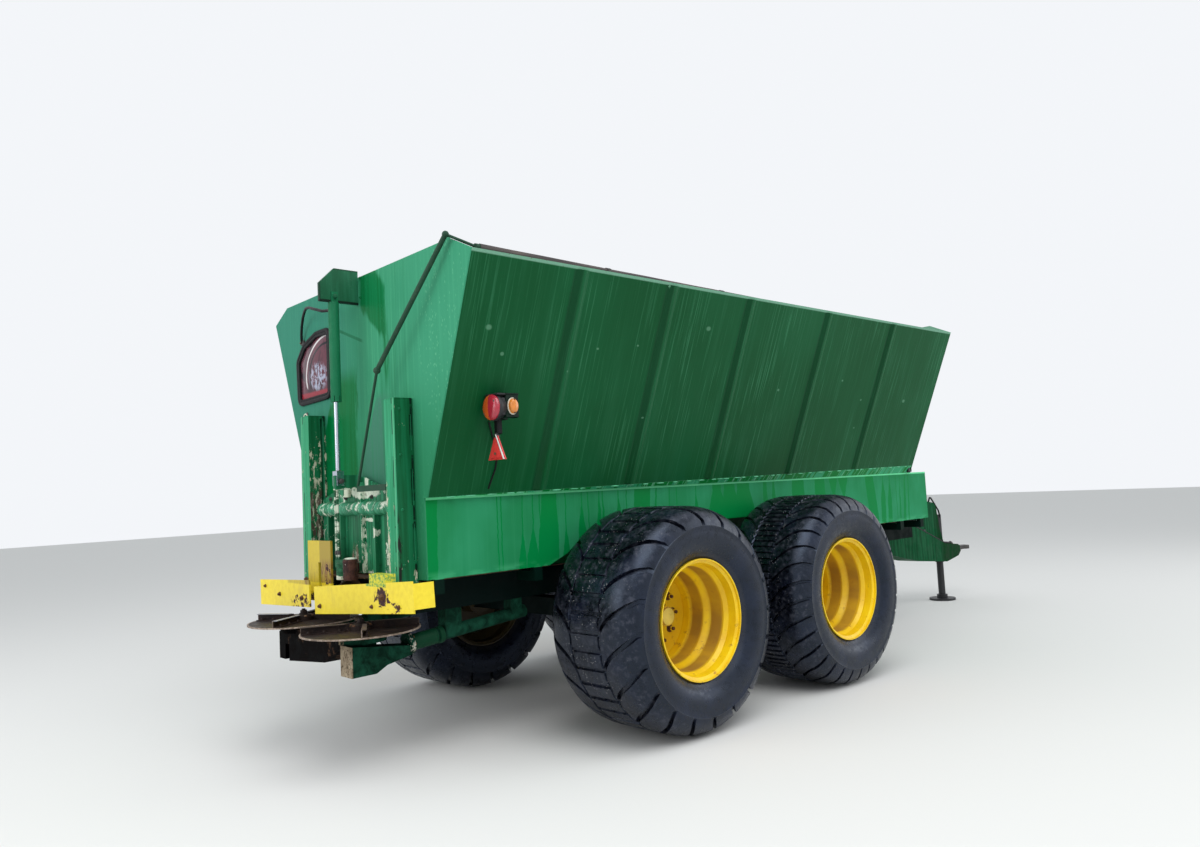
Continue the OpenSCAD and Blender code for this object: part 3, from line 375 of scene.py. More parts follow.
def wall_paint():
    """Overhanging walls, their green painted dark for the shade under the overhang: rain streaks down the
    slope, painted shade and light on the ribs, a painted highlight on the top rim, a wet ledge painted
    light, and a worn inside.
    """
    g = Graph("wall_paint")
    nx, ny, nz = g.facing()
    patch = g.noise((1.1, 0.8, 0.7), 3)
    # painted shade: the walls' green is darker than the rear wall's for the shade under the overhang
    g.color = g.grade(patch, 0.35, 0.68, (4, 76, 38), (12, 86, 48))
    ends = g.step(abs(nx), 0.4, 0.6)
    streak = g.noise((92, 1.2, 1.5), 4, 0.62) * (1.0 - ends) + g.noise((1, 70, 1.5), 4, 0.62) * ends
    bundle = g.step(g.noise((3.0, 0.8, 1.2), 3, shift=(2, 3, 9)), 0.40, 0.62, 0.22, 1.0)
    line = g.step(streak, 0.535, 0.66) * bundle
    line = line * g.step(g.x, REAR_X, REAR_X + 2.6, 0.5, 0.8)
    g.over(line, (50, 120, 82))
    broad = g.step(g.noise((13, 1, 0.8), 3, shift=(6, 2, 1)), 0.5, 0.72)
    g.over(broad * g.step(ends, 0, 1, 0.35, 0.0), (30, 96, 60))
    # painted shade on each rib's rear flank and painted light on its front flank
    shaded_rib_sides = []
    lit_rib_sides = []
    for rib in RIBS:
        x = REAR_X + rib
        shaded_rib_sides.append(g.band(g.x, x - 0.062, x - 0.008, 0.012))
        lit_rib_sides.append(g.band(g.x, x + 0.004, x + 0.050, 0.012))
    g.over(g.any_of(shaded_rib_sides) * 0.55, (8, 50, 28))
    g.over(g.any_of(lit_rib_sides) * 0.45, (34, 104, 66))
    low = g.fall(g.z, SKIRT_TOP - 0.1, SKIRT_TOP + 0.5)
    soak = low * g.step(g.noise((4, 1, 1.6), 4, shift=(1, 7, 4)), 0.46, 0.6)
    g.over(soak * 0.4, (2, 74, 28))
    crumbs = g.step(g.noise(30, 5, 0.7, shift=(4, 1, 1)), 0.62, 0.68)
    # painted highlight along the wall's top rim, broken by brown crumbs of dirt
    rim = g.step(g.z, WALL_TOP - 0.020, WALL_TOP - 0.012)
    g.over(rim * 0.75, g.mix(crumbs, (132, 184, 158), (120, 96, 84)))
    chips = g.blob((TANDEM_X - 0.72, 0, 2.695), (0.10, 0, 0.022), 0.3) * crumbs
    spots = [g.blob((TANDEM_X + x, 0, z), (0.6 * w, 0, 0.6 * h), 0.4) * 0.35 for x, z, w, h in SPOTS]
    g.over(g.any_of([chips] + spots), (122, 180, 146))

    # the ledge over the skirts: painted light on its down-facing face, with wet patches
    ledge = g.fall(nz, -0.56, -0.48) * g.band(g.z, 1.40, 1.56, 0.004)
    wet = g.step(g.noise((7, 1, 1), 4, 0.6, shift=(1, 1, 2)), 0.47, 0.51)
    top = g.mix(wet, (56, 166, 116), (0, 128, 54))
    top = g.mix(g.step(g.noise((60, 2, 2), 3), 0.56, 0.64, 0, 0.6), top, (132, 214, 172))
    g.over(ledge, top)

    # the inside: scoured, brown with what the load left, more so low down
    inside = g.band(nz, 0.22, 0.50, 0.02) * g.fall(g.z, WALL_TOP - 0.05, WALL_TOP - 0.04)
    scour = g.noise((0.9, 6, 14), 6, 0.65)
    crust = g.noise((12, 12, 9), 7, 0.7)
    steel = g.grade(scour, 0.38, 0.62, (34, 84, 58), (112, 112, 100))
    steel = g.grade(crust + g.step(g.z, 1.1, 2.6, 0.2, 0.0), 0.56, 0.66, steel, (74, 58, 42))
    g.over(inside, steel)
    height = streak + g.noise((300, 300, 120), 2)
    wavy = g.bump(g.noise((1.4, 1, 1), 2), 0.25, 0.012)
    return g.finish(g.step(line, 0, 1, 0.5, 0.36), g.bump(height, 0.12, 0.001, wavy), shine=0.12)


def post_paint():
    """Gate posts: sea green at the back, painted darker on their sides as shade, with welds, chips and
    dried splashes.
    """
    g = Graph("post_paint")
    nx, ny, nz = g.facing()
    # painted shade: the posts' sides get a darker copy of the back's green
    side = g.step(abs(ny), 0.5, 0.6)
    back_face = 1.0 - side
    fine = g.noise((40, 50, 1.6), 5, 0.62)
    back = g.grade(fine, 0.40, 0.64, (37, 137, 93), (55, 158, 115))
    shaded_flank = g.grade(fine, 0.40, 0.64, (8, 84, 48), (18, 104, 66))
    g.color = g.mix(side, back, shaded_flank)
    from_middle = abs(g.y) - POST_Y
    dashes = g.step(g.noise((1, 1, 9), 3, shift=(1, 1, 5)), 0.48, 0.52)
    stitch = g.band(from_middle, 0.024, 0.031, 0.0015) * dashes
    g.over(stitch * back_face, (8, 44, 28))
    seam = g.band(g.x, REAR_X - 0.020, REAR_X - 0.006, 0.002) * dashes
    g.over(seam * side, (4, 34, 22))
    rim = g.band(from_middle, 0.036, 0.044, 0.002) * back_face
    g.over(rim * 0.5, (118, 204, 158))
    # left post: fine pale streaks and brown on its inner side; right post: lime along its inner edge
    chips = g.noise((48, 48, 16), 7, 0.72, shift=(5, 2, 8), warp=0.4)
    on_left = side * g.band(g.y, 0.46, 0.50, 0.01)
    where = g.any_of([on_left * (g.blob((0, 0.476, 1.40), (0, 0, 0.44), 0.3) * 0.14),
                      g.blob((0, -0.480, 1.22), (0, 0.022, 0.34), 0.3) * 0.17,
                      g.fall(g.z, 1.05, 1.30) * 0.05])
    lime = g.step(chips + where, 0.655, 0.68)
    g.over(lime * 0.9, g.mix(g.noise(90), (230, 226, 206), (170, 160, 136)))
    torn = g.noise((40, 40, 10), 6, 0.7, shift=(3, 3, 3))
    bare = on_left * (g.fall(g.z, 1.50, 1.62) * g.step(torn, 0.46, 0.54))
    g.over(bare * 0.85, (76, 52, 50))
    spots = g.blob((POST_BACK + 0.004, -0.588, 1.17), (0.012, 0.010, 0.20), 0.3)
    g.over(spots * g.step(torn, 0.44, 0.5), (22, 30, 24))
    soil = g.step(g.noise((22, 22, 16), 6, 0.7, shift=(7, 3, 3)), 0.62, 0.72)
    g.over(soil * 0.4, (20, 50, 34))
    height = lime * 0.8 + fine * 0.2
    return g.finish(g.step(lime, 0, 1, 0.48, 0.85), g.bump(height, 0.35, 0.0012), shine=0.16)


# Dried lime on the gate, as (y, z, half width, half height, how thick)
LIME = [
    (-0.085, 1.505, 0.19, 0.036, 0.24), (-0.098, 1.575, 0.020, 0.052, 0.34),
    (-0.15, 1.425, 0.34, 0.030, 0.12), (-0.074, 1.17, 0.009, 0.22, 0.17),
    (-0.13, 1.345, 0.07, 0.012, 0.22), (0.060, 1.075, 0.055, 0.12, 0.11),
    (-0.224, 1.272, 0.02, 0.03, 0.22), (0.42, 1.34, 0.16, 0.14, 0.09), (-0.34, 1.10, 0.06, 0.16, 0.12),
    (0.02, 1.02, 0.34, 0.035, 0.12), (0.25, 1.46, 0.10, 0.05, 0.14), (-0.40, 1.46, 0.05, 0.05, 0.16),
]


def gate_paint():
    """The gate: dark green, lime where the load splashed it, and a reddish run beside the cylinder."""
    g = Graph("gate_paint")
    fine = g.noise((8, 60, 1.4), 5, 0.6)
    g.color = g.grade(fine, 0.40, 0.64, (18, 94, 60), (50, 138, 98))
    on_rail = g.band(g.z, 1.372, 1.450, 0.006)
    g.over(on_rail * 0.8, g.grade(fine, 0.4, 0.6, (30, 116, 78), (74, 158, 124)))
    chips = g.noise((18, 24, 15), 8, 0.74, shift=(5, 2, 8), warp=0.7)
    where = g.any_of([g.blob((0, y, z), (0, w, h), 0.35) * thick for y, z, w, h, thick in LIME])
    lime = g.step(chips + where, 0.64, 0.665)
    chalk = g.mix(g.noise(90), (240, 240, 228), (176, 196, 170))
    g.over(lime * 0.94, chalk)
    torn = g.step(g.noise((20, 40, 6), 5, 0.7, shift=(1, 1, 1)), 0.44, 0.56)
    red = g.blob((0, 0.065, 1.075), (0, 0.045, 0.12), 0.3) * torn
    g.over(red * 0.8, (172, 130, 118))
    soil = g.step(g.noise((26, 26, 18), 6, 0.7, shift=(3, 3, 3)), 0.57, 0.68)
    g.over(soil * 0.6, (20, 34, 22))
    height = lime * 0.9 + fine * 0.2
    return g.finish(g.step(lime, 0, 1, 0.45, 0.85), g.bump(height, 0.45, 0.0015), shine=0.2)


def motor_paint():
    """The gate's motor in brown rust, and its valve, block and pipes in green with lime."""
    g = Graph("motor_paint")
    a = g.noise((26, 26, 20), 8, 0.7, warp=0.5)
    brown = g.grade(a, 0.36, 0.64, (40, 22, 22), (84, 52, 44))
    green = g.grade(a, 0.36, 0.64, (14, 66, 40), (44, 108, 76))
    g.color = g.grade(g.y, -0.020, -0.014, brown, green)
    pipes = g.step(g.z, 1.122, 1.130)
    striped = g.step(g.noise((6, 6, 22), 6, 0.7, shift=(1, 4, 4)), 0.47, 0.54)
    g.over(pipes, g.mix(striped, (30, 88, 58), (206, 214, 196)))
    crust = g.noise(30, 7, 0.7, shift=(3, 1, 5))
    by_valve = g.blob((0, VALVE_Y, 1.008), (0, 0.05, 0.022), 0.3)
    lime = g.step(crust + by_valve * 0.25, 0.64, 0.67)
    g.over(lime * 0.9, (224, 222, 206))
    return g.finish(0.65, g.bump(a, 0.4, 0.0015), shine=0.25)


def case_paint():
    """Spinner frame: sooty rust on the gear case, pale mud on the right arm's end, wet green in front."""
    g = Graph("case_paint")
    a = g.noise((14, 14, 12), 8, 0.7, warp=0.5)
    b = g.noise(60, 5, 0.7)
    soot = g.grade(a, 0.38, 0.66, (1, 1, 2), (12, 8, 8))
    worn = g.step(g.noise((9, 9, 7), 8, 0.74, shift=(4, 6, 2), warp=0.5), 0.56, 0.64)
    soot = g.mix(worn * 0.6, soot, g.grade(b, 0.45, 0.6, (96, 72, 54), (44, 28, 24)))
    soot = g.mix(g.step(b, 0.60, 0.76, 0, 0.5), soot, (62, 44, 36))
    green = g.grade(a, 0.36, 0.66, (12, 38, 28), (26, 72, 55))
    green = g.mix(g.step(b, 0.60, 0.76, 0, 0.5), green, (44, 76, 58))
    x = g.x - TANDEM_X
    far_right = g.fall(g.y, -0.372, -0.360)
    ahead = g.step(x, -2.34, -2.30)
    g.color = g.mix(g.any_of([far_right, ahead]), soot, green)
    end = g.fall(x, -2.549, -2.545) * far_right
    mud = g.grade(a, 0.38, 0.64, (120, 104, 84), (172, 158, 136))
    mud = g.grade(b, 0.54, 0.62, mud, (58, 44, 36))
    g.over(end * g.step(a, 0.34, 0.44), mud)
    flange = g.band(x, -2.205, -2.170, 0.002)
    chips = g.step(g.noise(36, 6, 0.72, shift=(2, 5, 1)), 0.56, 0.60)
    g.over(flange * chips * 0.85, (208, 204, 188))
    return g.finish(g.step(a, 0.3, 0.7, 0.5, 0.75), g.bump(a + b, 0.4, 0.0015), shine=0.02)


def bar_paint():
    """Drawbar: dusty green, darker and wetter at the nose, pale wear on top, streaks down its sides."""
    g = Graph("bar_paint")
    nx, ny, nz = g.facing()
    x = g.x - TANDEM_X
    cover = g.noise((9, 9, 7), 7, 0.68, warp=0.3)
    runs = g.noise((34, 8, 2.2), 5, 0.62)
    g.color = g.grade(runs, 0.30, 0.72, (8, 58, 32), (26, 92, 58))
    nose = g.step(x, 4.72, 4.86)
    g.over(nose, g.grade(cover, 0.4, 0.66, (0, 48, 18), (4, 64, 30)))
    g.over(g.step(cover, 0.60, 0.74, 0, 0.3), (38, 58, 40))
    up = g.step(nz, 0.5, 0.7) * g.step(x, 4.86, 5.0)
    g.over(up * g.step(cover, 0.38, 0.5, 0.4, 1.0), (196, 200, 188))
    return g.finish(g.step(cover, 0.4, 0.7, 0.42, 0.8), g.bump(runs, 0.25, 0.001), shine=0.03)


def dusty_paint(name, base, dust, share=0.5, rough=0.5, shine=0.2):
    """Paint low on the machine, with dust and mud in blots."""
    g = Graph(name)
    cover = g.noise((9, 9, 7), 7, 0.68, warp=0.3)
    speck = g.noise((70, 70, 60), 3, 0.7)
    g.color = g.mix(g.step(g.noise(3), 0.3, 0.7, 0, 0.5), base, darker(base, 0.6))
    g.over(g.step(cover, 0.66 - 0.3 * share, 0.86 - 0.3 * share, 0, 0.85), dust)
    g.over(g.step(speck, 0.62, 0.7, 0, 0.5), dust)
    return g.finish(g.step(cover, 0.4, 0.7, rough, 0.85), g.bump(speck, 0.35, 0.001), shine=shine)


def rust(name, base=(62, 42, 38)):
    """Bare steel eaten by rust, with darker scale and paler dried crust."""
    g = Graph(name)
    a = g.noise((14, 14, 12), 8, 0.7, warp=0.5)
    b = g.noise(60, 5, 0.7)
    g.color = g.grade(a, 0.35, 0.65, base, (104, 74, 54))
    g.over(g.step(b, 0.5, 0.72, 0, 0.8), (40, 30, 34))
    crust = g.step(g.noise((11, 11, 30), 7, 0.7, shift=(8, 1, 5)), 0.6, 0.68)
    g.over(crust * 0.7, (176, 150, 120))
    return g.finish(g.step(a, 0.3, 0.7, 0.55, 0.85), g.bump(a + b, 0.5, 0.002), Metallic=0.25)


def disc_paint():
    """Spinner discs: dark wet rust, and a pale rim that is a painted highlight."""
    g = Graph("disc_paint")
    a = g.noise((14, 14, 12), 8, 0.7, warp=0.5)
    b = g.noise(60, 5, 0.7)
    g.color = g.grade(a, 0.35, 0.65, (24, 17, 18), (50, 38, 34))
    g.over(g.step(b, 0.58, 0.72, 0, 0.6), (96, 78, 66))
    # painted highlight: a pale line along the disc's outer edge
    far = g.reach(g.x - SPINNER_X, abs(g.y) - SPINNER_Y)
    rim = g.step(far, 0.308, 0.316) * g.step(a, 0.32, 0.44, 0.35, 1.0)
    g.over(rim, g.grade(b, 0.4, 0.6, (166, 150, 138), (116, 100, 88)))
    return g.finish(g.step(a, 0.3, 0.7, 0.4, 0.7), g.bump(a + b, 0.4, 0.0015), Metallic=0.2, shine=0.2)


def guard_paint():
    """Yellow guard paint: chips and rust blots, thickest where the bars were hit."""
    g = Graph("guard_paint")
    grain = g.noise(30, 5)
    g.color = g.grade(grain, 0.35, 0.7, (242, 218, 48), (234, 208, 40))
    g.over(g.step(g.noise((6, 9, 5), shift=(2, 1, 4)), 0.55, 0.75, 0, 0.5), (206, 176, 58))
    blots = g.noise((30, 22, 26), 6, 0.62, shift=(2, 9, 4), warp=0.5)

    def zone(y, z, wide, tall):
        return g.fall(g.reach((g.y - y) / wide, (g.z - z) / tall), 0.25, 1.0)

    # (y, z, width, height) of the places with the most rust
    worn = [(-0.66, 0.955, 0.17, 0.11), (-0.78, 0.90, 0.12, 0.07), (0.30, 0.87, 0.30, 0.10),
            (0.16, 1.02, 0.07, 0.16)]
    edge = 0.80 - g.any_of([zone(*row) for row in worn]) * 0.30
    spot = g.step(blots - edge, -0.012, 0.012)
    star = g.blob((0, -0.66, 0.955), (0, 0.036, 0.040), 0.10, (blots - 0.5) * 3.6)
    spot = g.any_of([spot, star])
    hue = g.mix(g.noise(40, 4), (70, 34, 30), (38, 22, 34))
    # the upright: duller, its inner leg, set further back, darker still as painted shade, with brown low
    # down
    upright = g.step(g.z, 0.975, 0.985) * g.band(g.y, 0.05, 0.50, 0.01)
    dull_and_shade = g.step(g.y, 0.262, 0.268, 1.0, 0.5)
    g.over(upright * dull_and_shade, (166, 142, 40))
    streaky = g.step(g.noise((20, 30, 7), 6, 0.7, shift=(1, 2, 6)), 0.46, 0.56)
    low = g.fall(g.z, 1.06, 1.14) * g.step(g.y, 0.255, 0.275, 1.0, 0.2)
    g.over(upright * (low * streaky), (120, 78, 36))
    # the small plate over the right bar: more green than yellow
    small = g.step(g.z, 1.004, 1.008) * g.band(g.y, -0.70, -0.49, 0.004)
    mottle = g.noise(44, 4, 0.7, shift=(4, 4, 1))
    leafy = g.grade(mottle, 0.44, 0.56, (214, 206, 40), (72, 148, 66))
    g.over(small * 0.9, leafy)
    g.over(g.step(blots - edge, -0.05, 0.0, 0, 0.5), (178, 128, 44))
    g.over(spot, hue)
    return g.finish(g.step(spot, 0, 1, 0.42, 0.85), g.bump(1.0 - spot, 0.5, 0.0012))


def rim_paint(end):
    """Yellow rim: bright on its steps and brown with dust on its cylinders, more so low down."""
    g = Graph("rim_paint_" + end)
    depth = TYRE_Y + 0.305 - abs(g.y)
    dusty = g.any_of([g.band(depth, 0.108, 0.202, 0.016), g.band(depth, 0.245, 0.335, 0.016)])
    streaks = g.noise((5, 2, 5), 4, 0.5)
    fine = g.noise((90, 60, 90), 3)
    g.color = g.grade(g.noise(7), 0.3, 0.7, (250, 214, 18), (236, 192, 14))
    brown = g.grade(streaks, 0.35, 0.65, (184, 142, 34), (158, 118, 40))
    g.over(dusty * g.step(streaks, 0.2, 0.6, 0.7, 0.95), brown)
    loose = g.step(g.noise((20, 14, 20), 7, 0.7, shift=(3, 4, 4)), 0.58, 0.68)
    low = g.step(g.z, WHEEL_Z - 0.3, WHEEL_Z + 0.1, 1.0, 0.35)
    g.over(loose * low * 0.7, (150, 92, 34))
    disc = g.step(depth, 0.385, 0.41)
    g.over(disc * 0.5, (206, 158, 30))
    # painted shade: the rim's inner side, facing the middle of the machine, darkened nearly to black
    inside = g.step(depth, 0.404, 0.411)
    g.over(inside * g.step(loose, 0, 1, 0.96, 0.86), (34, 30, 26))
    return g.finish(g.step(dusty, 0, 1, 0.4, 0.75), g.bump(fine, 0.2, 0.0008))


def tyre_rubber(end):
    """Wet black rubber: soil in the tread's gaps, pale specks on the lugs for grit and painted glints, fine
    rings on the side.
    """
    g = Graph("tyre_rubber_" + end)
    dx = g.x - AXLE_X[end]
    dz = g.z - WHEEL_Z
    radius = g.reach(dx, dz)
    far = abs(abs(g.y) - TYRE_Y)
    soil = g.noise(26, 7, 0.7)
    fine = g.noise(170, 3)
    broad = g.noise(5, 3, shift=(2, 4, 4))
    g.color = g.grade(soil, 0.35, 0.7, (6, 7, 13), (14, 17, 28))
    g.over(g.step(broad, 0.45, 0.65, 0, 0.6), (22, 27, 44))
    tread = g.step(radius, 0.565, 0.60)
    dirty = tread * g.step(soil, 0.50, 0.66)
    g.over(dirty * 0.45, (74, 74, 82))
    middle = tread * g.step(far, 0.10, 0.20, 1.0, 0.25)
    # pale specks in the tread's middle: grit, and painted glints of wet rubber
    speck = g.fall(g.cells(74), 0.13, 0.21) * middle
    some = g.step(g.noise(14, shift=(9, 1, 1)), 0.5, 0.6)
    g.over(speck * some * 0.8, (188, 186, 188))
    bead = g.band(radius, 0.352, 0.385, 0.008)
    g.over(bead * 0.4, (52, 50, 50))
    turn = g.math("ARCTAN2", dx, dz)
    ribs = g.math("SINE", turn * 260.0) * g.band(radius, 0.44, 0.535, 0.01)
    rough = g.step(soil, 0.3, 0.7, 0.2, 0.5)
    height = (soil + fine) * 0.6 + ribs * 0.12
    return g.finish(rough, g.bump(height, 0.45, 0.0018), shine=0.5, Specular_Tint=(0.60, 0.74, 1.0, 1.0))


def plain(name, color, rough=0.5, metal=0.0, grain=60, amount=0.3, **more):
    """A fine grained surface with slight changes of tone."""
    g = Graph(name)
    grain_noise = g.noise(grain, 4)
    broad = g.noise(7, 4, shift=(1, 2, 3))
    g.color = g.grade(broad, 0.3, 0.7, color, darker(color, 1 - amount))
    lighter = [min(1, v * 1.6 + 0.01) for v in color[:3]] + [1]
    g.over(g.step(grain_noise, 0.55, 0.75, 0, 0.4), lighter)
    varied = g.step(grain_noise, 0.3, 0.7, rough, min(1, rough + 0.15))
    return g.finish(varied, g.bump(grain_noise, 0.2, 0.0008), Metallic=metal, **more)


def lens(name, color, rings=900.0):
    g = Graph(name)
    g.color = g.mix(g.step(g.noise(40), 0.3, 0.7, 0, 0.4), color, darker(color, 0.6))
    return g.finish(0.16, g.bump(g.math("SINE", g.z * rings), 0.3, 0.001), Coat_Weight=0.6)


def cloth_roll():
    g = Graph("cover_roll")
    turn = g.noise((2, 60, 60), 5, 0.6)
    weave = g.noise(500, 2)
    g.color = g.grade(turn, 0.4, 0.65, (70, 62, 60), (38, 33, 36))
    g.over(g.step(g.noise(6, 6), 0.5, 0.7, 0, 0.6), (96, 84, 76))
    return g.finish(0.7, g.bump(turn + weave * 0.3, 0.5, 0.003))


def pane():
    """Smeared dark red pane: painted reflections, a curved bright one and a dark one, pale patches low
    inside, red at the bottom.
    """
    g = Graph("window_pane")
    blur = g.noise((4, 9, 5), 4, 0.6, warp=0.6)
    g.color = g.grade(blur, 0.40, 0.58, (48, 34, 44), (98, 54, 66))
    torn = g.noise((20, 34, 22), 5, 0.7, shift=(2, 5, 1))
    patches = g.blob((0, 0.54, 2.27), (0, 0.11, 0.085), 0.3) * g.step(torn, 0.46, 0.54)
    g.over(patches * 0.85, (176, 182, 204))
    # painted reflections on the pane: a bright arc and a dark arc inside it
    far = g.reach(g.y - 0.42, g.z - 2.25)
    arc = g.band(far, 0.274, 0.290, 0.003) * g.step(g.z, 2.20, 2.23)
    g.over(arc * 0.9, (226, 222, 222))
    dark_reflection = g.band(far, 0.222, 0.236, 0.003) * g.step(g.z, 2.20, 2.23)
    g.over(dark_reflection, (20, 18, 26))
    low = g.fall(g.z, 2.175, 2.19)
    g.over(low * g.step(torn, 0.3, 0.4), (150, 42, 56))
    return g.finish(0.25, shine=0.25)


MAT = {
    "wall": wall_paint(),
    "rear": rear_paint(),
    "skirt": skirt_paint(),
    "post": post_paint(),
    "gate": gate_paint(),
    "motor": motor_paint(),
    "case": case_paint(),
    "bar": bar_paint(),
    "frame": dusty_paint("frame_paint", srgb(10, 60, 38), srgb(44, 66, 52), 0.3, 0.5, 0.12),
    # painted shade: the chassis, bogies and axles are painted near black for the deep shade under the
    # machine
    "under": dusty_paint("shaded_under_paint", srgb(8, 22, 20), srgb(24, 27, 27), 0.5, 0.5, 0.06),
    "bracket": bracket_paint(),
    "barrel": dusty_paint("barrel_paint", srgb(24, 108, 72), srgb(48, 124, 94), 0.3, 0.4, 0.15),
    "guard": guard_paint(),
    "rubber": plain("black_rubber", srgb(13, 14, 17), 0.42, shine=0.2),
    "chrome": plain("rod_chrome", srgb(196, 204, 216), 0.14, 1.0, 30, 0.1),
    "rust": rust("rusty_steel"),
    "steel": plain("worn_steel", srgb(86, 84, 82), 0.5, 0.6),
    "black": plain("black_paint", srgb(28, 29, 32), 0.45),
    "floor": rust("floor_steel", srgb(70, 58, 46)),
    "pane": pane(),
    "roll": cloth_roll(),
    "tyre_front": tyre_rubber("front"),
    "tyre_rear": tyre_rubber("rear"),
    "crank": dusty_paint("crank_paint", srgb(34, 70, 52), srgb(66, 84, 70), 0.5),
    "orange": lens("lens_orange", srgb(214, 92, 34)),
    "red": lens("lens_red", srgb(176, 34, 56)),
    "amber": lens("lens_amber", srgb(222, 132, 44)),
    "reflector": lens("reflector_red", srgb(222, 62, 60), 1500.0),
    "pale": plain("pale_trim", srgb(226, 220, 200), 0.5),
    "nut": rust("nut_rust", srgb(92, 58, 30)),
    "hub": plain("hub_yellow", srgb(232, 206, 92), 0.45),
    # a near-black, used as painted shade in the hub's pockets and the ribs' notches, and for the cover's
    # wound edge
    "dark": plain("dark_pocket", srgb(34, 26, 24), 0.8),
    "white": plain("white_edge", srgb(238, 238, 232), 0.4),
    "tape": plain("red_band", srgb(176, 52, 58), 0.4),
    "lime": plain("lime_crust", srgb(206, 214, 190), 0.85),
    "fitting": plain("green_fitting", srgb(20, 88, 52), 0.45),
    # painted highlight: the small plates at the ribs' tops are painted pale though they sit in the
    # overhang's shade
    "tab": plain("highlit_tab", srgb(112, 190, 150), 0.5),
    "bead": plain("ledge_bead", srgb(92, 190, 142), 0.45),
    "vane": plain("vane_steel", srgb(158, 160, 168), 0.45, 0.5),
    "worn": plain("worn_vane", srgb(74, 60, 56), 0.6, 0.2),
    "disc": disc_paint(),
}
RIM = {end: rim_paint(end) for end in ("front", "rear")}

# Which material each carried-over node wears
WEAR = {
    "wall": ["side_wall_right", "side_wall_left", "front_wall"],
    "rear": ["rear_wall"],
    "skirt": ["skirt_right", "skirt_left", "front_apron"],
    "post": ["gate_posts"],
    "gate": ["gate"],
    "bar": ["drawbar"],
    "case": ["spinner_frame"],
    "under": ["chassis_rail_right", "chassis_rail_left", "cross_members", "bogie_right", "bogie_left",
              "axle_front", "axle_rear"],
    "bracket": ["cylinder_bracket"],
    "barrel": ["gate_barrel"],
    "guard": ["guards"],
    "rubber": ["hoses", "window_frame"],
    "chrome": ["gate_rod"],
    "disc": ["spinner_right", "spinner_left"],
    "motor": ["gate_motor"],
    "steel": ["hitch_eye", "pto_input"],
    "black": ["jack_tube", "jack_leg", "lamp_right", "lamp_left"],
    "floor": ["floor_conveyor"],
    "pane": ["window_pane"],
    "roll": ["tarp_roll"],
    "tyre_front": ["tyre_front_right", "tyre_front_left"],
    "tyre_rear": ["tyre_rear_right", "tyre_rear_left"],
    "crank": ["tarp_crank"],
}
for key, names in WEAR.items():
    for name in names:
        NODES[name].data.materials.clear()
        NODES[name].data.materials.append(MAT[key])
for end in ("front", "rear"):
    for side in ("right", "left"):
        mesh = NODES["rim_%s_%s" % (end, side)].data
        mesh.materials.clear()
        mesh.materials.append(RIM[end])


def turns(sides, start=0.0):
    return [start + 2 * pi * k / sides for k in range(sides)]


def rays(u, v, count, start=0.0):
    """Vectors all round, turning from u to v."""
    return [u * cos(a) + v * sin(a) for a in turns(count, start)]


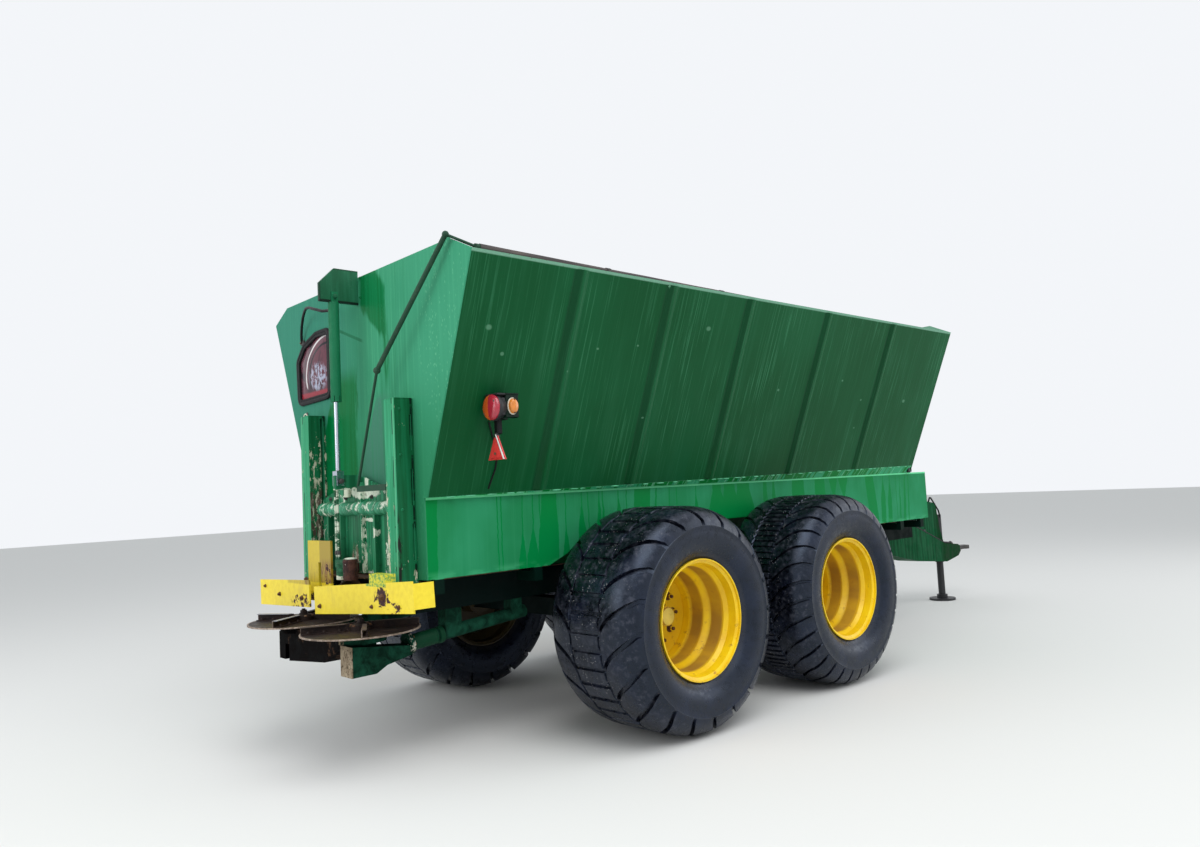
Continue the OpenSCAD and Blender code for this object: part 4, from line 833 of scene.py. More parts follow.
class Form:
    """Collects simple solids into one mesh; each face remembers its material's key."""

    def __init__(self):
        self.verts = []
        self.faces = []
        self.keys = []

    def add(self, verts, faces, key):
        base = len(self.verts)
        self.verts += [Vector(v) for v in verts]
        self.faces += [[base + i for i in face] for face in faces]
        self.keys += [key] * len(faces)

    def loft(self, rings, key, caps=True, loop=False):
        n = len(rings[0])
        count = len(rings)
        faces = []
        for i in range(count if loop else count - 1):
            a = i * n
            b = (i + 1) % count * n
            faces += [[a + k, a + (k + 1) % n, b + (k + 1) % n, b + k] for k in range(n)]
        if caps and not loop:
            faces += [list(range(n))[::-1], list(range((count - 1) * n, count * n))]
        self.add([v for ring in rings for v in ring], faces, key)

    def tube(self, points, radius, key, sides=8, loop=False):
        points = [Vector(p) for p in points]
        radii = radius if isinstance(radius, list) else [radius] * len(points)
        rings = []
        side = None
        count = len(points)
        for i, point in enumerate(points):
            before = points[i - 1] if i or loop else point
            after = points[(i + 1) % count] if i < count - 1 or loop else point
            ahead = (after - before).normalized()
            if side is None:
                side = ahead.orthogonal().normalized()
            side = (side - ahead * side.dot(ahead)).normalized()
            rings.append([point + ray * radii[i] for ray in rays(side, ahead.cross(side), sides)])
        self.loft(rings, key, loop=loop)

    def lathe(self, origin, axis, profile, key, sides=24, start=0.0):
        """Revolves (radius, height) pairs, in millimetres, about an axis."""
        origin = Vector(origin)
        axis = axis.normalized()
        side = axis.orthogonal().normalized()
        round_it = rays(side, axis.cross(side), sides, start)
        rings = [[origin + axis * (h / 1000) + ray * (r / 1000) for ray in round_it] for r, h in profile]
        self.loft(rings, key)

    def block(self, lo, hi, key, edge=0.003):
        """A block with all its edges chamfered."""
        (x0, y0, z0), (x1, y1, z1) = lo, hi
        e = min([edge] + [0.4 * (b - a) for a, b in zip(lo, hi)])
        rings = []
        for z, i in ((z0, e), (z0 + e, 0), (z1 - e, 0), (z1, e)):
            a, b, c, d = x0 + i, x1 - i, y0 + i, y1 - i
            rings.append([(a + e, c, z), (b - e, c, z), (b, c + e, z), (b, d - e, z),
                          (b - e, d, z), (a + e, d, z), (a, d - e, z), (a, c + e, z)])
        self.loft(rings, key)

    def plate(self, outline, origin, u, v, depth, key, edge=0.002):
        """An outline in the plane of u and v, made depth thick, with chamfered edges."""
        origin = Vector(origin)
        w = u.cross(v).normalized()
        mid = [sum(p[i] for p in outline) / len(outline) for i in (0, 1)]
        inner = 1 - edge / max(hypot(p[0] - mid[0], p[1] - mid[1]) for p in outline)
        rings = []
        for h, share in ((0, inner), (edge, 1), (depth - edge, 1), (depth, inner)):
            rings.append([origin + u * (mid[0] + (p[0] - mid[0]) * share)
                          + v * (mid[1] + (p[1] - mid[1]) * share) + w * h for p in outline])
        self.loft(rings, key)

    def bolt(self, place, axis, size, key, stud=0):
        """A washer, a hexagon head of that width over its corners, and its stud's end, in millimetres."""
        r = size / 2
        self.lathe(place, axis, [(r * 1.3, 0), (r * 1.3, r * 0.2), (r * 1.1, r * 0.24)], key, 16)
        self.lathe(place, axis, [(r, r * 0.2), (r, r * 0.95), (r * 0.82, r * 1.15)], key, 6)
        if stud:
            top = r * 1.1
            end = [(r * 0.55, top), (r * 0.55, top + stud * 0.9), (r * 0.45, top + stud)]
            self.lathe(place, axis, end, key, 12)

    def flipped(self):
        """The same form on the machine's other side."""
        other = Form()
        other.verts = [Vector((v.x, -v.y, v.z)) for v in self.verts]
        other.faces = [face[::-1] for face in self.faces]
        other.keys = list(self.keys)
        return other


def make(name, form, body, nodes=(), sharp=38):
    """Makes a piece of a form; it rides on the body and stands for the nodes."""
    mesh = bpy.data.meshes.new(name)
    mesh.from_pydata(form.verts, [], form.faces)
    keys = list(dict.fromkeys(form.keys))
    for key in keys:
        mesh.materials.append(MAT[key])
    for face, key in zip(mesh.polygons, form.keys):
        face.material_index = keys.index(key)
    bm = bmesh.new()
    bm.from_mesh(mesh)
    bmesh.ops.recalc_face_normals(bm, faces=bm.faces)
    bm.to_mesh(mesh)
    bm.free()
    mesh.shade_smooth()
    mesh.set_sharp_from_angle(angle=radians(sharp))
    piece = bpy.data.objects.new(name, mesh)
    bpy.context.scene.collection.objects.link(piece)
    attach(piece, body)
    if nodes:
        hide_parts(*nodes)
    return piece


def at(x, y, z):
    """A place measured from the tandem's centre, in metres."""
    return (x + TANDEM_X, y, z)


def wall_half_width(z):
    """Half the width over the side walls at height z, beside the ledge's foot and above it."""
    lo, hi = FOOT
    return lo[0] + (z - lo[1]) * (hi[0] - lo[0]) / (hi[1] - lo[1])


# Tyres: half outline over the lugs as (distance from the middle plane, radius)
TREAD_LINE = [(0.0, 0.6665), (0.20, 0.664), (0.26, 0.655), (0.30, 0.636), (0.328, 0.610), (0.343, 0.580),
              (0.352, 0.548)]
SIDE_LINE = [(0.3548, 0.5455), (0.3528, 0.539), (0.3552, 0.510), (0.3555, 0.478), (0.3475, 0.428),
             (0.322, 0.390), (0.296, 0.364), (0.282, 0.3385)]

# The two tread patterns: lugs round the tyre, bars per lug in the middle, widths of the gaps, where the
# middle ends, and how far back each lug leans, in degrees at distances from the middle plane
TREADS = {
    "front": dict(lugs=32, bars=3, gap=0.015, bar_gap=0.011, middle=0.098, deep=0.020, bar_deep=0.011,
                  lean=[(0.095, -14.4), (0.131, -11.2), (0.174, -7.5), (0.226, -4.2), (0.293, -1.8),
                        (0.337, 0)]),
    "rear": dict(lugs=20, bars=2, gap=0.027, bar_gap=0.018, middle=0.124, deep=0.026, bar_deep=0.013,
                 lean=[(0.12, -19.2), (0.141, -15), (0.20, -10.3), (0.266, -6.5), (0.318, -3), (0.346, 0)]),
}


def along(table, at_x):
    """The value of a table of (x, value) at a place, straight between its rows."""
    if at_x <= table[0][0]:
        return table[0][1]
    for (x0, v0), (x1, v1) in zip(table, table[1:]):
        if at_x <= x1:
            return v0 + (v1 - v0) * (at_x - x0) / (x1 - x0)
    return table[-1][1]


def groove_stations(gaps, half, slope, count):
    """Places along one pitch, from 0 to 1, each with 1 in a gap and 0 on a lug."""
    rows = []
    for k in range(gaps):
        middle = k / gaps
        rows += [((middle - half - slope) % 1, 0), ((middle - half) % 1, 1), (middle + half, 1),
                 (middle + half + slope, 0)]
    spare = (count - len(rows)) // gaps
    first = half + slope
    room = 1 / gaps - 2 * first
    for k in range(gaps):
        rows += [(k / gaps + first + room * (i + 1) / (spare + 1), 0) for i in range(spare)]
    return sorted(rows)


def tyre_form(end):
    """A tyre about its own centre: a ring of points for each of its stations, joined all round."""
    tread = TREADS[end]
    per_pitch = 12
    side_l = 0.0045
    tread_r = 0.66
    pitch_l = 2 * pi * tread_r / tread["lugs"]
    lug_rows = groove_stations(1, tread["gap"] / 2 / pitch_l, side_l / pitch_l, per_pitch)
    bar_rows = groove_stations(tread["bars"], tread["bar_gap"] / 2 / pitch_l, side_l / pitch_l, per_pitch)
    pitch = 360 / tread["lugs"]
    middle = tread["middle"]
    skip = round(along(tread["lean"], middle) / pitch) * pitch
    deep = [(0.30, 1.0), (0.328, 0.92), (0.343, 0.72), (0.3495, 0.35), (0.352, 0.0)]
    zig = 0.012

    # columns of one half: (y, radius, kind, depth), where kind m is the middle, r its edge groove, l the
    # lugs and s the side
    half = [(y * (middle - 0.014) / 4, None, "m", tread["bar_deep"]) for y in range(5)]
    half += [(middle - 0.008, None, "r", tread["bar_deep"]), (middle - 0.002, None, "r", tread["bar_deep"])]
    room = 0.343 - middle - 0.01
    lug_ys = [middle + 0.004] + [middle + 0.01 + room * i / 9 for i in range(10)] + [0.3478, 0.352]
    half += [(y, None, "l", tread["deep"] * along(deep, y)) for y in lug_ys]
    half += [(y, r, "s", 0.0) for y, r in SIDE_LINE]
    columns = [(-y, r, kind, depth) for y, r, kind, depth in half[:0:-1]] + half

    rings = []
    for pitch_no in range(tread["lugs"]):
        for station in range(per_pitch):
            ring = []
            for y, r, kind, depth in columns:
                far = abs(y)
                share, low = (bar_rows if kind in "mr" else lug_rows)[station]
                turn = (pitch_no + share) * pitch
                if kind in "ls":
                    turn += along(tread["lean"], far) - skip
                if kind == "r":
                    low = 1
                radius = r
                slant = 0.0
                if r is None:
                    radius = along(TREAD_LINE, far)
                    outer = along(TREAD_LINE, min(far + 0.004, 0.352))
                    inner = along(TREAD_LINE, max(far - 0.004, 0))
                    slant = (outer - inner) / 0.008
                drop = depth * low
                size = hypot(1, slant)
                near = max(0.0, 1 - abs(far - middle) / 0.05)
                wave = abs((turn / pitch * tread["bars"]) % 1 - 0.5) * 2 - 0.5
                side = 1 if y > 0 else -1
                place_y = y + side * (near * zig * wave * (far > 0) + drop * slant / size)
                radius -= drop / size
                angle = radians(turn)
                ring.append((radius * sin(angle), place_y, radius * cos(angle)))
            rings.append(ring)
    form = Form()
    n = len(columns)
    verts = [v for ring in rings for v in ring]
    faces = []
    for i in range(len(rings)):
        a = i * n
        b = (i + 1) % len(rings) * n
        faces += [[a + k, b + k, b + k + 1, a + k + 1] for k in range(n - 1)]
        faces.append([a + n - 1, b + n - 1, b, a])
    form.add(verts, faces, "tyre_" + end)
    return form


def wheel_pieces(end, side):
    """The tyre with its tread, and the nuts, hub cap and valve of one wheel."""
    wheel = "%s_%s" % (end, side)
    centre = Vector((AXLE_X[end], SIGN[side] * TYRE_Y, WHEEL_Z))
    tyre = TYRE_FORMS[end]
    placed = Form()
    placed.verts = [v + centre for v in tyre.verts]
    placed.faces = tyre.faces
    placed.keys = tyre.keys
    make("tyre_%s_tread" % wheel, placed, "wheel_" + wheel, ["tyre_" + wheel], 32)

    out = Y * SIGN[side]
    hub = centre + out * (RIM_HALF_W - RIM_DISH)
    form = Form()
    for ray in rays(X, Z, 10):
        form.bolt(hub + ray * 0.1675, out, 40, "nut", 18)
    # hub cap with a rounded end, its collar and the collar's screws
    cap = [(74.5, 0), (74.5, 30), (71, 36), (58, 38), (57.8, 112), (55, 121), (48, 126), (18, 128),
           (17, 126.5), (6, 126.8)]
    form.lathe(hub, out, cap, "hub", 40)
    for ray in rays(X, Z, 6, 0.4):
        form.bolt(hub + ray * 0.0655 + out * 0.0365, out, 11, "nut")
    # dark plates in the pockets round the hub: painted shade for their depths
    pocket = [(0.083, 0.0), (0.100, 0.0245), (0.121, 0.0132), (0.121, -0.0132), (0.100, -0.0245)]
    for ray in rays(X, Z, 6, pi / 6):
        form.plate(pocket, hub - out * 0.0118, ray, ray.cross(out) * SIGN[side], 0.003, "dark", 0.0008)
    # valve on the barrel's inner step
    ray = rays(X, Z, 1, radians(200))[0]
    foot = hub + ray * 0.2745 + out * 0.052
    stem = [foot - ray * inward + out * h for inward, h in ((0, 0), (0.012, 0), (0.022, 0.010),
                                                            (0.026, 0.055))]
    form.tube(stem, [0.009, 0.008, 0.006, 0.006], "rubber", 10)
    form.lathe(foot - ray * 0.026 + out * 0.05, out, [(7.5, 0), (7.5, 14), (6, 17)], "steel", 10)
    make("wheel_fittings_" + wheel, form, "wheel_" + wheel)


TYRE_FORMS = {end: tyre_form(end) for end in ("front", "rear")}
for end in ("front", "rear"):
    for side in ("right", "left"):
        wheel_pieces(end, side)


def lamp_cluster():
    """The left lamp cluster: round lens in two colours, side lamp, bracket, arm and reflector."""
    z = 1.925
    y = wall_half_width(z)
    x = -1.944
    form = Form()

    def block(lo, hi, key, edge):
        """A block by its corners, measured from the lens' middle on the wall."""
        form.block(*(at(x + a, y + b, z + c) for a, b, c in (lo, hi)), key, edge)

    # bracket from the wall, with its upright plate and its top
    wall_y = wall_half_width(z - 0.046) + 0.0005 - y
    block((0.060, wall_y, -0.060), (0.150, 0.040, -0.046), "bracket", 0.002)
    block((0.064, 0.098, -0.058), (0.150, 0.142, 0.070), "bracket", 0.004)
    block((0.064, 0.036, 0.066), (0.150, 0.146, 0.0758), "bracket", 0.002)
    for dx in (0.078, 0.136):
        form.bolt(at(x + dx, y + 0.065, z + 0.0758), Z, 9, "steel")
    # black housing behind the lens, and the hood over it
    middle = y + 0.088
    housing = [(71.8, 0), (73.5, 4), (73.5, 20), (62, 36), (58, 56)]
    form.lathe(at(x + 0.010, middle, z), X, housing, "black", 40)
    block((0.030, 0.038, -0.050), (0.066, 0.140, 0.056), "black", 0.008)
    block((0.004, 0.030, 0.062), (0.064, 0.1455, 0.075), "black", 0.004)
    # lens: rings of a shallow dome, its inner half orange and its outer half red
    rings = []
    sides = 40
    for r, h in ((0.0705, 0.012), (0.0705, 0.002), (0.0665, -0.006), (0.056, -0.0125), (0.040, -0.0165),
                 (0.020, -0.0185), (0.003, -0.0190)):
        rings.append([at(x + h, middle + r * sin(a), z + r * cos(a)) for a in turns(sides)])
    flat = [v for ring in rings for v in ring]
    for colour, picks in (("red", range(0, sides // 2)), ("orange", range(sides // 2, sides))):
        faces = []
        for i in range(0, len(flat) - sides, sides):
            for k in picks:
                after = (k + 1) % sides
                faces.append([i + k, i + after, i + sides + after, i + sides + k])
        form.add(flat, faces, colour)
    form.lathe(at(x - 0.0187, middle, z), -X, [(3.5, 0), (3, 0.8)], "red", sides)
    block((-0.0150, 0.0868, -0.052), (-0.004, 0.0892, 0.052), "black", 0.0004)
    for ray in rays(Y, Z, 2, 0.6):
        screw = Vector(at(x - 0.010, middle, z)) + ray * 0.055
        form.lathe(screw, -X, [(4.5, 0), (4.5, 4), (3, 5.2)], "steel", 12)
    # side lamp with its base, its amber lens and two screws
    side_x, side_y = x + 0.104, y + 0.142
    base = [(0.034 * cos(t), 0.047 * sin(t)) for t in turns(24)]
    form.plate(base, at(side_x, side_y, z + 0.004), X, -Z, 0.007, "pale", 0.002)
    rings = []
    for share, h in ((1.0, 0.0065), (0.98, 0.017), (0.86, 0.0235), (0.6, 0.0265), (0.1, 0.0275)):
        rings.append([at(side_x + 0.029 * share * cos(t), side_y + h,
                         z + 0.004 + 0.041 * share * sin(t)) for t in turns(28)])
    form.loft(rings, "amber")
    for dz in (-0.032, 0.040):
        form.lathe(at(side_x, side_y + 0.018, z + dz), Y, [(5.5, 0), (5.5, 5.5), (3.5, 7.5)], "nut", 12)
    # rubber boot where the cable enters, and the black arm down to the reflector
    boot = [(16, 0), (13, 12), (9, 24), (7, 34)]
    form.lathe(at(x + 0.066, y + 0.060, z - 0.052), -Z, boot, "rubber", 14)
    block((0.041, 0.052, -0.145), (0.075, 0.089, -0.048), "rubber", 0.006)
    block((0.034, 0.046, -0.064), (0.084, 0.096, -0.050), "rubber", 0.004)
    # three-cornered reflector: its backing, its red face with a rim, its pale edge and its screw
    mid = y + 0.070
    backing = [(-0.008, 1.782), (0.008, 1.782), (0.078, 1.642), (-0.078, 1.642)]
    face = [(-0.0025, 1.760), (0.0025, 1.760), (0.056, 1.6535), (-0.056, 1.6535)]
    strip = [(0.0020, 1.780), (0.0088, 1.780), (0.0775, 1.6435), (0.0665, 1.6435)]
    for outline, dx, depth, key, edge in ((backing, 0.0400, 0.008, "reflector", 0.0015),
                                          (face, 0.0325, 0.003, "reflector", 0.001),
                                          (strip, 0.0325, 0.0025, "white", 0.0006)):
        form.plate(outline, at(x + dx, mid, 0), Y, Z, depth, key, edge)
    form.lathe(at(x + 0.0302, mid, 1.676), -X, [(8, 0), (8, 2), (5, 4)], "nut", 12)
    block((0.036, 0.058, -0.163), (0.060, 0.082, -0.135), "black", 0.003)
    return form


cluster = lamp_cluster()
make("lamp_cluster_left", cluster, "root", ["lamp_left"])
make("lamp_cluster_right", cluster.flipped(), "root", ["lamp_right"])


def round_corners(corners, radius, steps=5):
    """A closed outline with its corners rounded off."""
    points = []
    count = len(corners)
    for i, corner in enumerate(corners):
        here = Vector(corner)
        before = (Vector(corners[i - 1]) - here).normalized()
        after = (Vector(corners[(i + 1) % count]) - here).normalized()
        bend = before.angle(after) / 2
        reach = min(radius / tan(bend), 0.45 * (Vector(corners[i - 1]) - here).length)
        a, b = here + before * reach, here + after * reach
        for k in range(steps + 1):
            t = k / steps
            points.append(a * (1 - t) ** 2 + here * 2 * t * (1 - t) + b * t ** 2)
    return points


def window():
    """Rubber seal round the sight window, and its bulged pane."""
    y, z = 0.600, 2.338
    corners = [(y - 0.200, z - 0.190), (y + 0.215, z - 0.200), (y + 0.225, z + 0.060),
               (y + 0.130, z + 0.150), (y - 0.040, z + 0.200), (y - 0.200, z + 0.200)]
    outline = round_corners(corners, 0.030)
    middle = sum(outline, Vector((0, 0))) / len(outline)

    def spread(by):
        rows = []
        for i, p in enumerate(outline):
            run = (outline[(i + 1) % len(outline)] - outline[i - 1]).normalized()
            rows.append(p + Vector((run.y, -run.x)) * by)
        return rows

    # profile of the seal: (how far out, how far back from the wall)
    profile = [(0.034, 0.0003), (0.035, 0.008), (0.031, 0.0145), (0.022, 0.0165), (0.012, 0.0150),
               (0.008, 0.0125), (0.003, 0.0150), (-0.004, 0.0145), (-0.008, 0.0100), (-0.008, 0.0003)]
    form = Form()
    rings = [[(REAR_X - back, p.x, p.y) for p in spread(by)] for by, back in profile]
    form.loft(rings, "rubber", loop=True)
    # red band let into the seal's lower edge
    low = [p for p in spread(0.0225) if p.y < z - 0.186 and y - 0.165 < p.x < y + 0.19]
    low.sort(key=lambda p: p.x)
    for a, b in zip(low, low[1:]):
        form.tube([(REAR_X - 0.0150, a.x, a.y), (REAR_X - 0.0150, b.x, b.y)], 0.0075, "tape", 8)
    make("window_seal", form, "root", ["window_frame"])

    pane_form = Form()
    rings = []
    for share in (1.0, 0.93, 0.82, 0.68, 0.52, 0.35, 0.18, 0.05):
        bulge = 0.022 * (1 - share ** 2)
        rings.append([(REAR_X + 0.002 - bulge, middle.x + (p.x - middle.x) * share,
                       middle.y + (p.y - middle.y) * share) for p in spread(-0.001)])
    back = [(x + 0.004, a, b) for x, a, b in rings[0]]
    pane_form.loft([back] + rings, "pane")
    make("window_glass", pane_form, "root", ["window_pane"])


window()


def cover_roll():
    """The rolled cover, lower to the front: many wound layers with small folds, held by straps."""
    lo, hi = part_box("tarp_roll")
    radius = (hi.y - lo.y) / 2
    y = (lo.y + hi.y) / 2
    rear_z, front_z = hi.z - radius, lo.z + radius
    form = Form()
    sides = 44
    length = hi.x - lo.x
    count = 150
    draw = random.Random(11)
    phases = [draw.uniform(0, 6.28) for _ in range(6)]

    def middle(x):
        return rear_z + (front_z - rear_z) * (x - lo.x) / length

    rings = []
    for i in range(count + 1):
        x = lo.x + length * i / count
        ring = []
        for k, a in enumerate(turns(sides)):
            fold = 0.35 * sin(3 * a + 2.1 * x + phases[0]) + 0.3 * sin(5 * a - 3.7 * x + phases[1])
            fold += 0.25 * sin(2 * a + 9 * x + phases[2]) + 0.2 * sin(7 * a + 17 * x + phases[3])
            pinch = min(abs(((x - lo.x - 0.42) % 1.05) - 0.5) / 0.06, 1.0)
            lap = 0.10 if 0 < (k - 30) % sides < 9 else 0.0
            share = 0.90 + 0.05 * fold + lap * 0.5 - 0.05 * (1 - pinch)
            r = radius * min(share, 1.0)
            ring.append((x, y + r * cos(a), middle(x) + r * sin(a) * 0.98))
        rings.append(ring)
    form.loft(rings, "roll")
    # wound edge seen on both ends
    for end_x in (lo.x - 0.0005, hi.x + 0.0005):
        spiral = []
        for k in range(64):
            t = k / 63
            a = t * 5 * pi
            r = radius * (0.15 + 0.66 * t)
            spiral.append((end_x, y + r * cos(a), middle(end_x) + r * sin(a)))
        form.tube(spiral, 0.001, "dark", 5)
    make("rolled_cover", form, "root", ["tarp_roll"], 60)
    straps = Form()
    # a strap's section: (along the roll, out from it)
    section = [(-0.016, 0.0), (-0.015, 0.0018), (0.015, 0.0018), (0.016, 0.0), (0.012, -0.003),
               (-0.012, -0.003)]
    strap_x = lo.x + 0.92
    while strap_x < hi.x - 0.2:
        z = middle(strap_x)
        rings = []
        for dx, lift in section:
            r = radius * 0.955 + lift
            rings.append([(strap_x + dx, y + r * cos(a), z + r * sin(a)) for a in turns(36)])
        straps.loft(rings, "black", loop=True)
        straps.block((strap_x - 0.013, y - radius - 0.002, z - 0.004),
                     (strap_x + 0.013, y - radius * 0.93, z + 0.014), "steel", 0.0015)
        strap_x += 1.05
    make("cover_straps", straps, "root")


cover_roll()


def wall_trim():
    """Small plates at the ribs' tops, beads along the ledge, and the clip at the ledge's front."""
    draw = random.Random(5)
    form = Form()
    rise = (FOOT[1][0] - FOOT[0][0]) / (FOOT[1][1] - FOOT[0][1])
    slope = Vector((0, rise, 1)).normalized()
    out = Vector((0, 1, -rise)).normalized()
    leaf = [(-0.040, 0.018), (-0.012, 0.022), (0.024, 0.008), (0.046, -0.022), (0.036, -0.032),
            (0.004, -0.026), (-0.034, -0.010)]
    leaf_z = WALL_TOP - 0.030
    # the plates at the ribs' tops wear a pale colour as a painted highlight
    for k, rib in enumerate(RIBS):
        spot = Vector((REAR_X + rib + 0.050 + 0.007 * k, wall_half_width(leaf_z), leaf_z))
        form.plate(leaf, spot - out * 0.0005, X, slope, 0.0045, "tab", 0.0012)

    def foot(x):
        """Where the ledge meets the wall: half the width, and the height."""
        z = FOOT[0][1] + FOOT_RISE * x / WALL_L
        return wall_half_width(z), z

    x = 0.150
    while x < 5.22:
        y, z = foot(x)
        half_l, tall, thick = draw.uniform(0.022, 0.038), draw.uniform(0.0035, 0.005), 0.004
        rings = []
        for k in range(7):
            a = pi * (k / 6 - 0.5)
            size = max(cos(a), 0.06)
            centre = Vector((REAR_X + x + half_l * sin(a), y - 0.002, z - 0.009))
            rings.append([centre + ray * size for ray in rays(Y * thick, Z * tall, 10)])
        form.loft(rings, "bead")
        x += draw.choice((0.135, 0.142, 0.150, 0.07))
    # dark blocks as painted shade in the notches where the ribs end on the ledge
    for rib in RIBS:
        y, z = foot(rib)
        form.block((REAR_X + rib - 0.022, y - 0.004, z + 0.004),
                   (REAR_X + rib + 0.022, y + 0.0135, z + 0.020), "dark", 0.003)
    # clip and bent wire at the ledge's front corner
    corner = Vector((REAR_X + 5.265, 0.700, SKIRT_TOP + 0.012))
    form.block(corner + Vector((-0.030, -0.012, -0.006)), corner + Vector((0.030, 0.014, 0.040)), "black",
               0.004)
    wire = ((0.0, 0.0, 0.038), (0.006, 0.004, 0.080), (0.004, 0.010, 0.150), (-0.010, 0.022, 0.215),
            (-0.016, 0.030, 0.235))
    form.tube([corner + Vector(v) for v in wire], 0.004, "black", 8)
    make("wall_trim_left", form, "root")
    make("wall_trim_right", form.flipped(), "root")


wall_trim()


def rear_fittings():
    """Bolts, pins, clamps and cords on the rear of the hopper."""
    form = Form()
    for side in (-1, 1):
        for z in (0.93, 0.985):
            for dy in (-0.024, 0.024):
                form.bolt((POST_BACK + 0.0005, side * (POST_Y + dy), z), -X, 22, "nut", 6)
        # bolts that hold the post to the rear wall's flange
        for z in (1.10, 1.40, 1.70, 1.95):
            form.bolt((POST_BACK + 0.030, side * (POST_Y + POST_HALF_W - 0.0005), z), Y * side, 14,
                      "post", 3)
        # welded caps on the posts
        y = side * POST_Y
        form.block((POST_BACK + 0.002, y - POST_HALF_W + 0.002, POST_TOP - 0.0005),
                   (REAR_X - 0.002, y + POST_HALF_W - 0.002, POST_TOP + 0.005), "post", 0.002)
    # the cylinder's pin: its heads and its split pin
    z = BARREL_TOP + 0.034
    for side in (-1, 1):
        form.lathe((CYLINDER_X, side * 0.026, z), Y * side, [(14, 0), (14, 3), (10, 3.5), (10, 7), (8, 9)],
                   "bracket", 20)
    form.tube([(CYLINDER_X - 0.018, 0.0335, z), (CYLINDER_X + 0.018, 0.0335, z)], 0.002, "steel", 6)
    # bracket bolts on the wall
    for z in (BARREL_TOP + 0.04, BARREL_TOP + 0.16):
        for side in (-1, 1):
            form.bolt((REAR_X - 0.0005, side * 0.040, z), -X, 13, "rear", 3)
    # gland nut, wiper ring and the two ports on the barrel
    gland_z = BARREL_TOP - BARREL_L
    form.lathe((CYLINDER_X, 0, gland_z + 0.0005), -Z, [(32.5, -34), (32.5, -4), (30, 0)], "frame", 6)
    form.lathe((CYLINDER_X, 0, gland_z), -Z, [(21, 0), (20.5, 1), (18, 1.6)], "rubber", 24)
    form.lathe((CYLINDER_X, 0.030, BARREL_TOP - 0.034), Y,
               [(16, 0), (16, 12), (13.5, 13), (13.5, 26), (11, 28)], "steel", 6)
    form.lathe((CYLINDER_X, 0.0305, gland_z + 0.055), Y, [(15, 0), (15, 11), (11, 13)], "steel", 6)
    # clamp where the hose meets the wall
    form.block((REAR_X - 0.0135, 0.743, 2.511), (REAR_X - 0.0003, 0.785, 2.543), "steel", 0.002)
    form.bolt((REAR_X - 0.0135, 0.779, 2.527), -X, 10, "nut")
    # small loop of pale cord at the wall's outer edge: a ring through an eye
    eye = Vector((REAR_X - 0.008, 0.735, 2.045))
    form.lathe((REAR_X - 0.0003, eye.y, eye.z), -X, [(13, 0), (13, 3), (6, 5), (6, 12)], "steel", 16)
    ring = [eye + Vector((-0.006, 0.030 * sin(t), -0.034 + 0.036 * cos(t))) for t in turns(22)]
    form.tube(ring, 0.0042, "pale", 8, loop=True)
    make("rear_fittings", form, "root")


rear_fittings()


def gate_fittings():
    """Bolts on the gate's rail, its motor's fittings and the rod's pin; they move with the gate."""
    form = Form()
    for y in (-0.36, -0.16, 0.16, 0.36):
        form.bolt((GATE_FACE - 0.0005, y, 1.478), -X, 20, "steel", 5)
    form.block((GATE_FACE - 0.020, 0.095, 1.482), (GATE_FACE - 0.0004, 0.152, 1.562), "lime", 0.003)
    # pin of the rod's fork, and the rod's nut
    for side in (-1, 1):
        form.lathe((CYLINDER_X, side * 0.036, GATE_LUG_Z - 0.020), Y * side,
                   [(16, 0), (16, 4), (11.5, 4.5), (11.5, 8), (9, 10)], "steel", 20)
    form.lathe((CYLINDER_X, 0, GATE_LUG_Z + 0.041), Z, [(21, -2), (21, 1), (18, 1.8)], "rust", 6)
    # nuts at both ends of the two pipes, and the bend that joins them
    x = CYLINDER_X + 0.014
    for y in (0.050, 0.076):
        form.lathe((x, y, PIPE_TOP - 0.030), Z, [(10.5, 0), (10.5, 18), (9, 20)], "lime", 6)
        form.lathe((x, y, PIPE_LOW + 0.034), Z, [(11.5, 0), (11.5, 20), (9, 22)], "steel", 6)
    bend = [(x, 0.063 + 0.013 * cos(pi * k / 8),
             PIPE_TOP - 0.004 + 0.022 * sin(pi * k / 8)) for k in range(9)]
    form.tube(bend, 0.0072, "motor", 10)
    # motor: rings round its body, its cap and the screws under it
    motor = Vector((CYLINDER_X + 0.028, MOTOR_Y, MOTOR_LOW))
    for h in (14, 52, 100):
        form.lathe(motor, Z, [(41, h), (43.8, h + 1), (43.8, h + 8), (41, h + 9)], "motor", 40)
    form.lathe(motor, Z, [(40, 115.5), (40, 119), (32, 125), (14, 128)], "motor", 36)
    for ray in rays(X, Y, 6):
        form.bolt(motor + ray * 0.032, -Z, 9, "nut")
    # valve: rings, its domed cap, the lime round its foot and its outlet
    valve = Vector((motor.x, VALVE_Y, MOTOR_LOW))
    for h in (40, 72):
        form.lathe(valve, Z, [(37, h), (39.6, h + 1), (39.6, h + 7), (37, h + 8)], "motor", 36)
    form.lathe(valve, Z, [(36.5, 91.5), (36.5, 95), (26, 101), (10, 103)], "fitting", 32)
    foot = [(37.5 + 1.6 * sin(5 * k) ** 2, 2 + 4 * k) for k in range(5)]
    form.lathe(valve, Z, [(30, 0)] + foot + [(37.2, 21)], "lime", 28)
    form.lathe(valve, -Z, [(16, 0), (16, 8), (12, 9), (12, 18)], "steel", 6)
    make("gate_fittings", form, "gate")


gate_fittings()


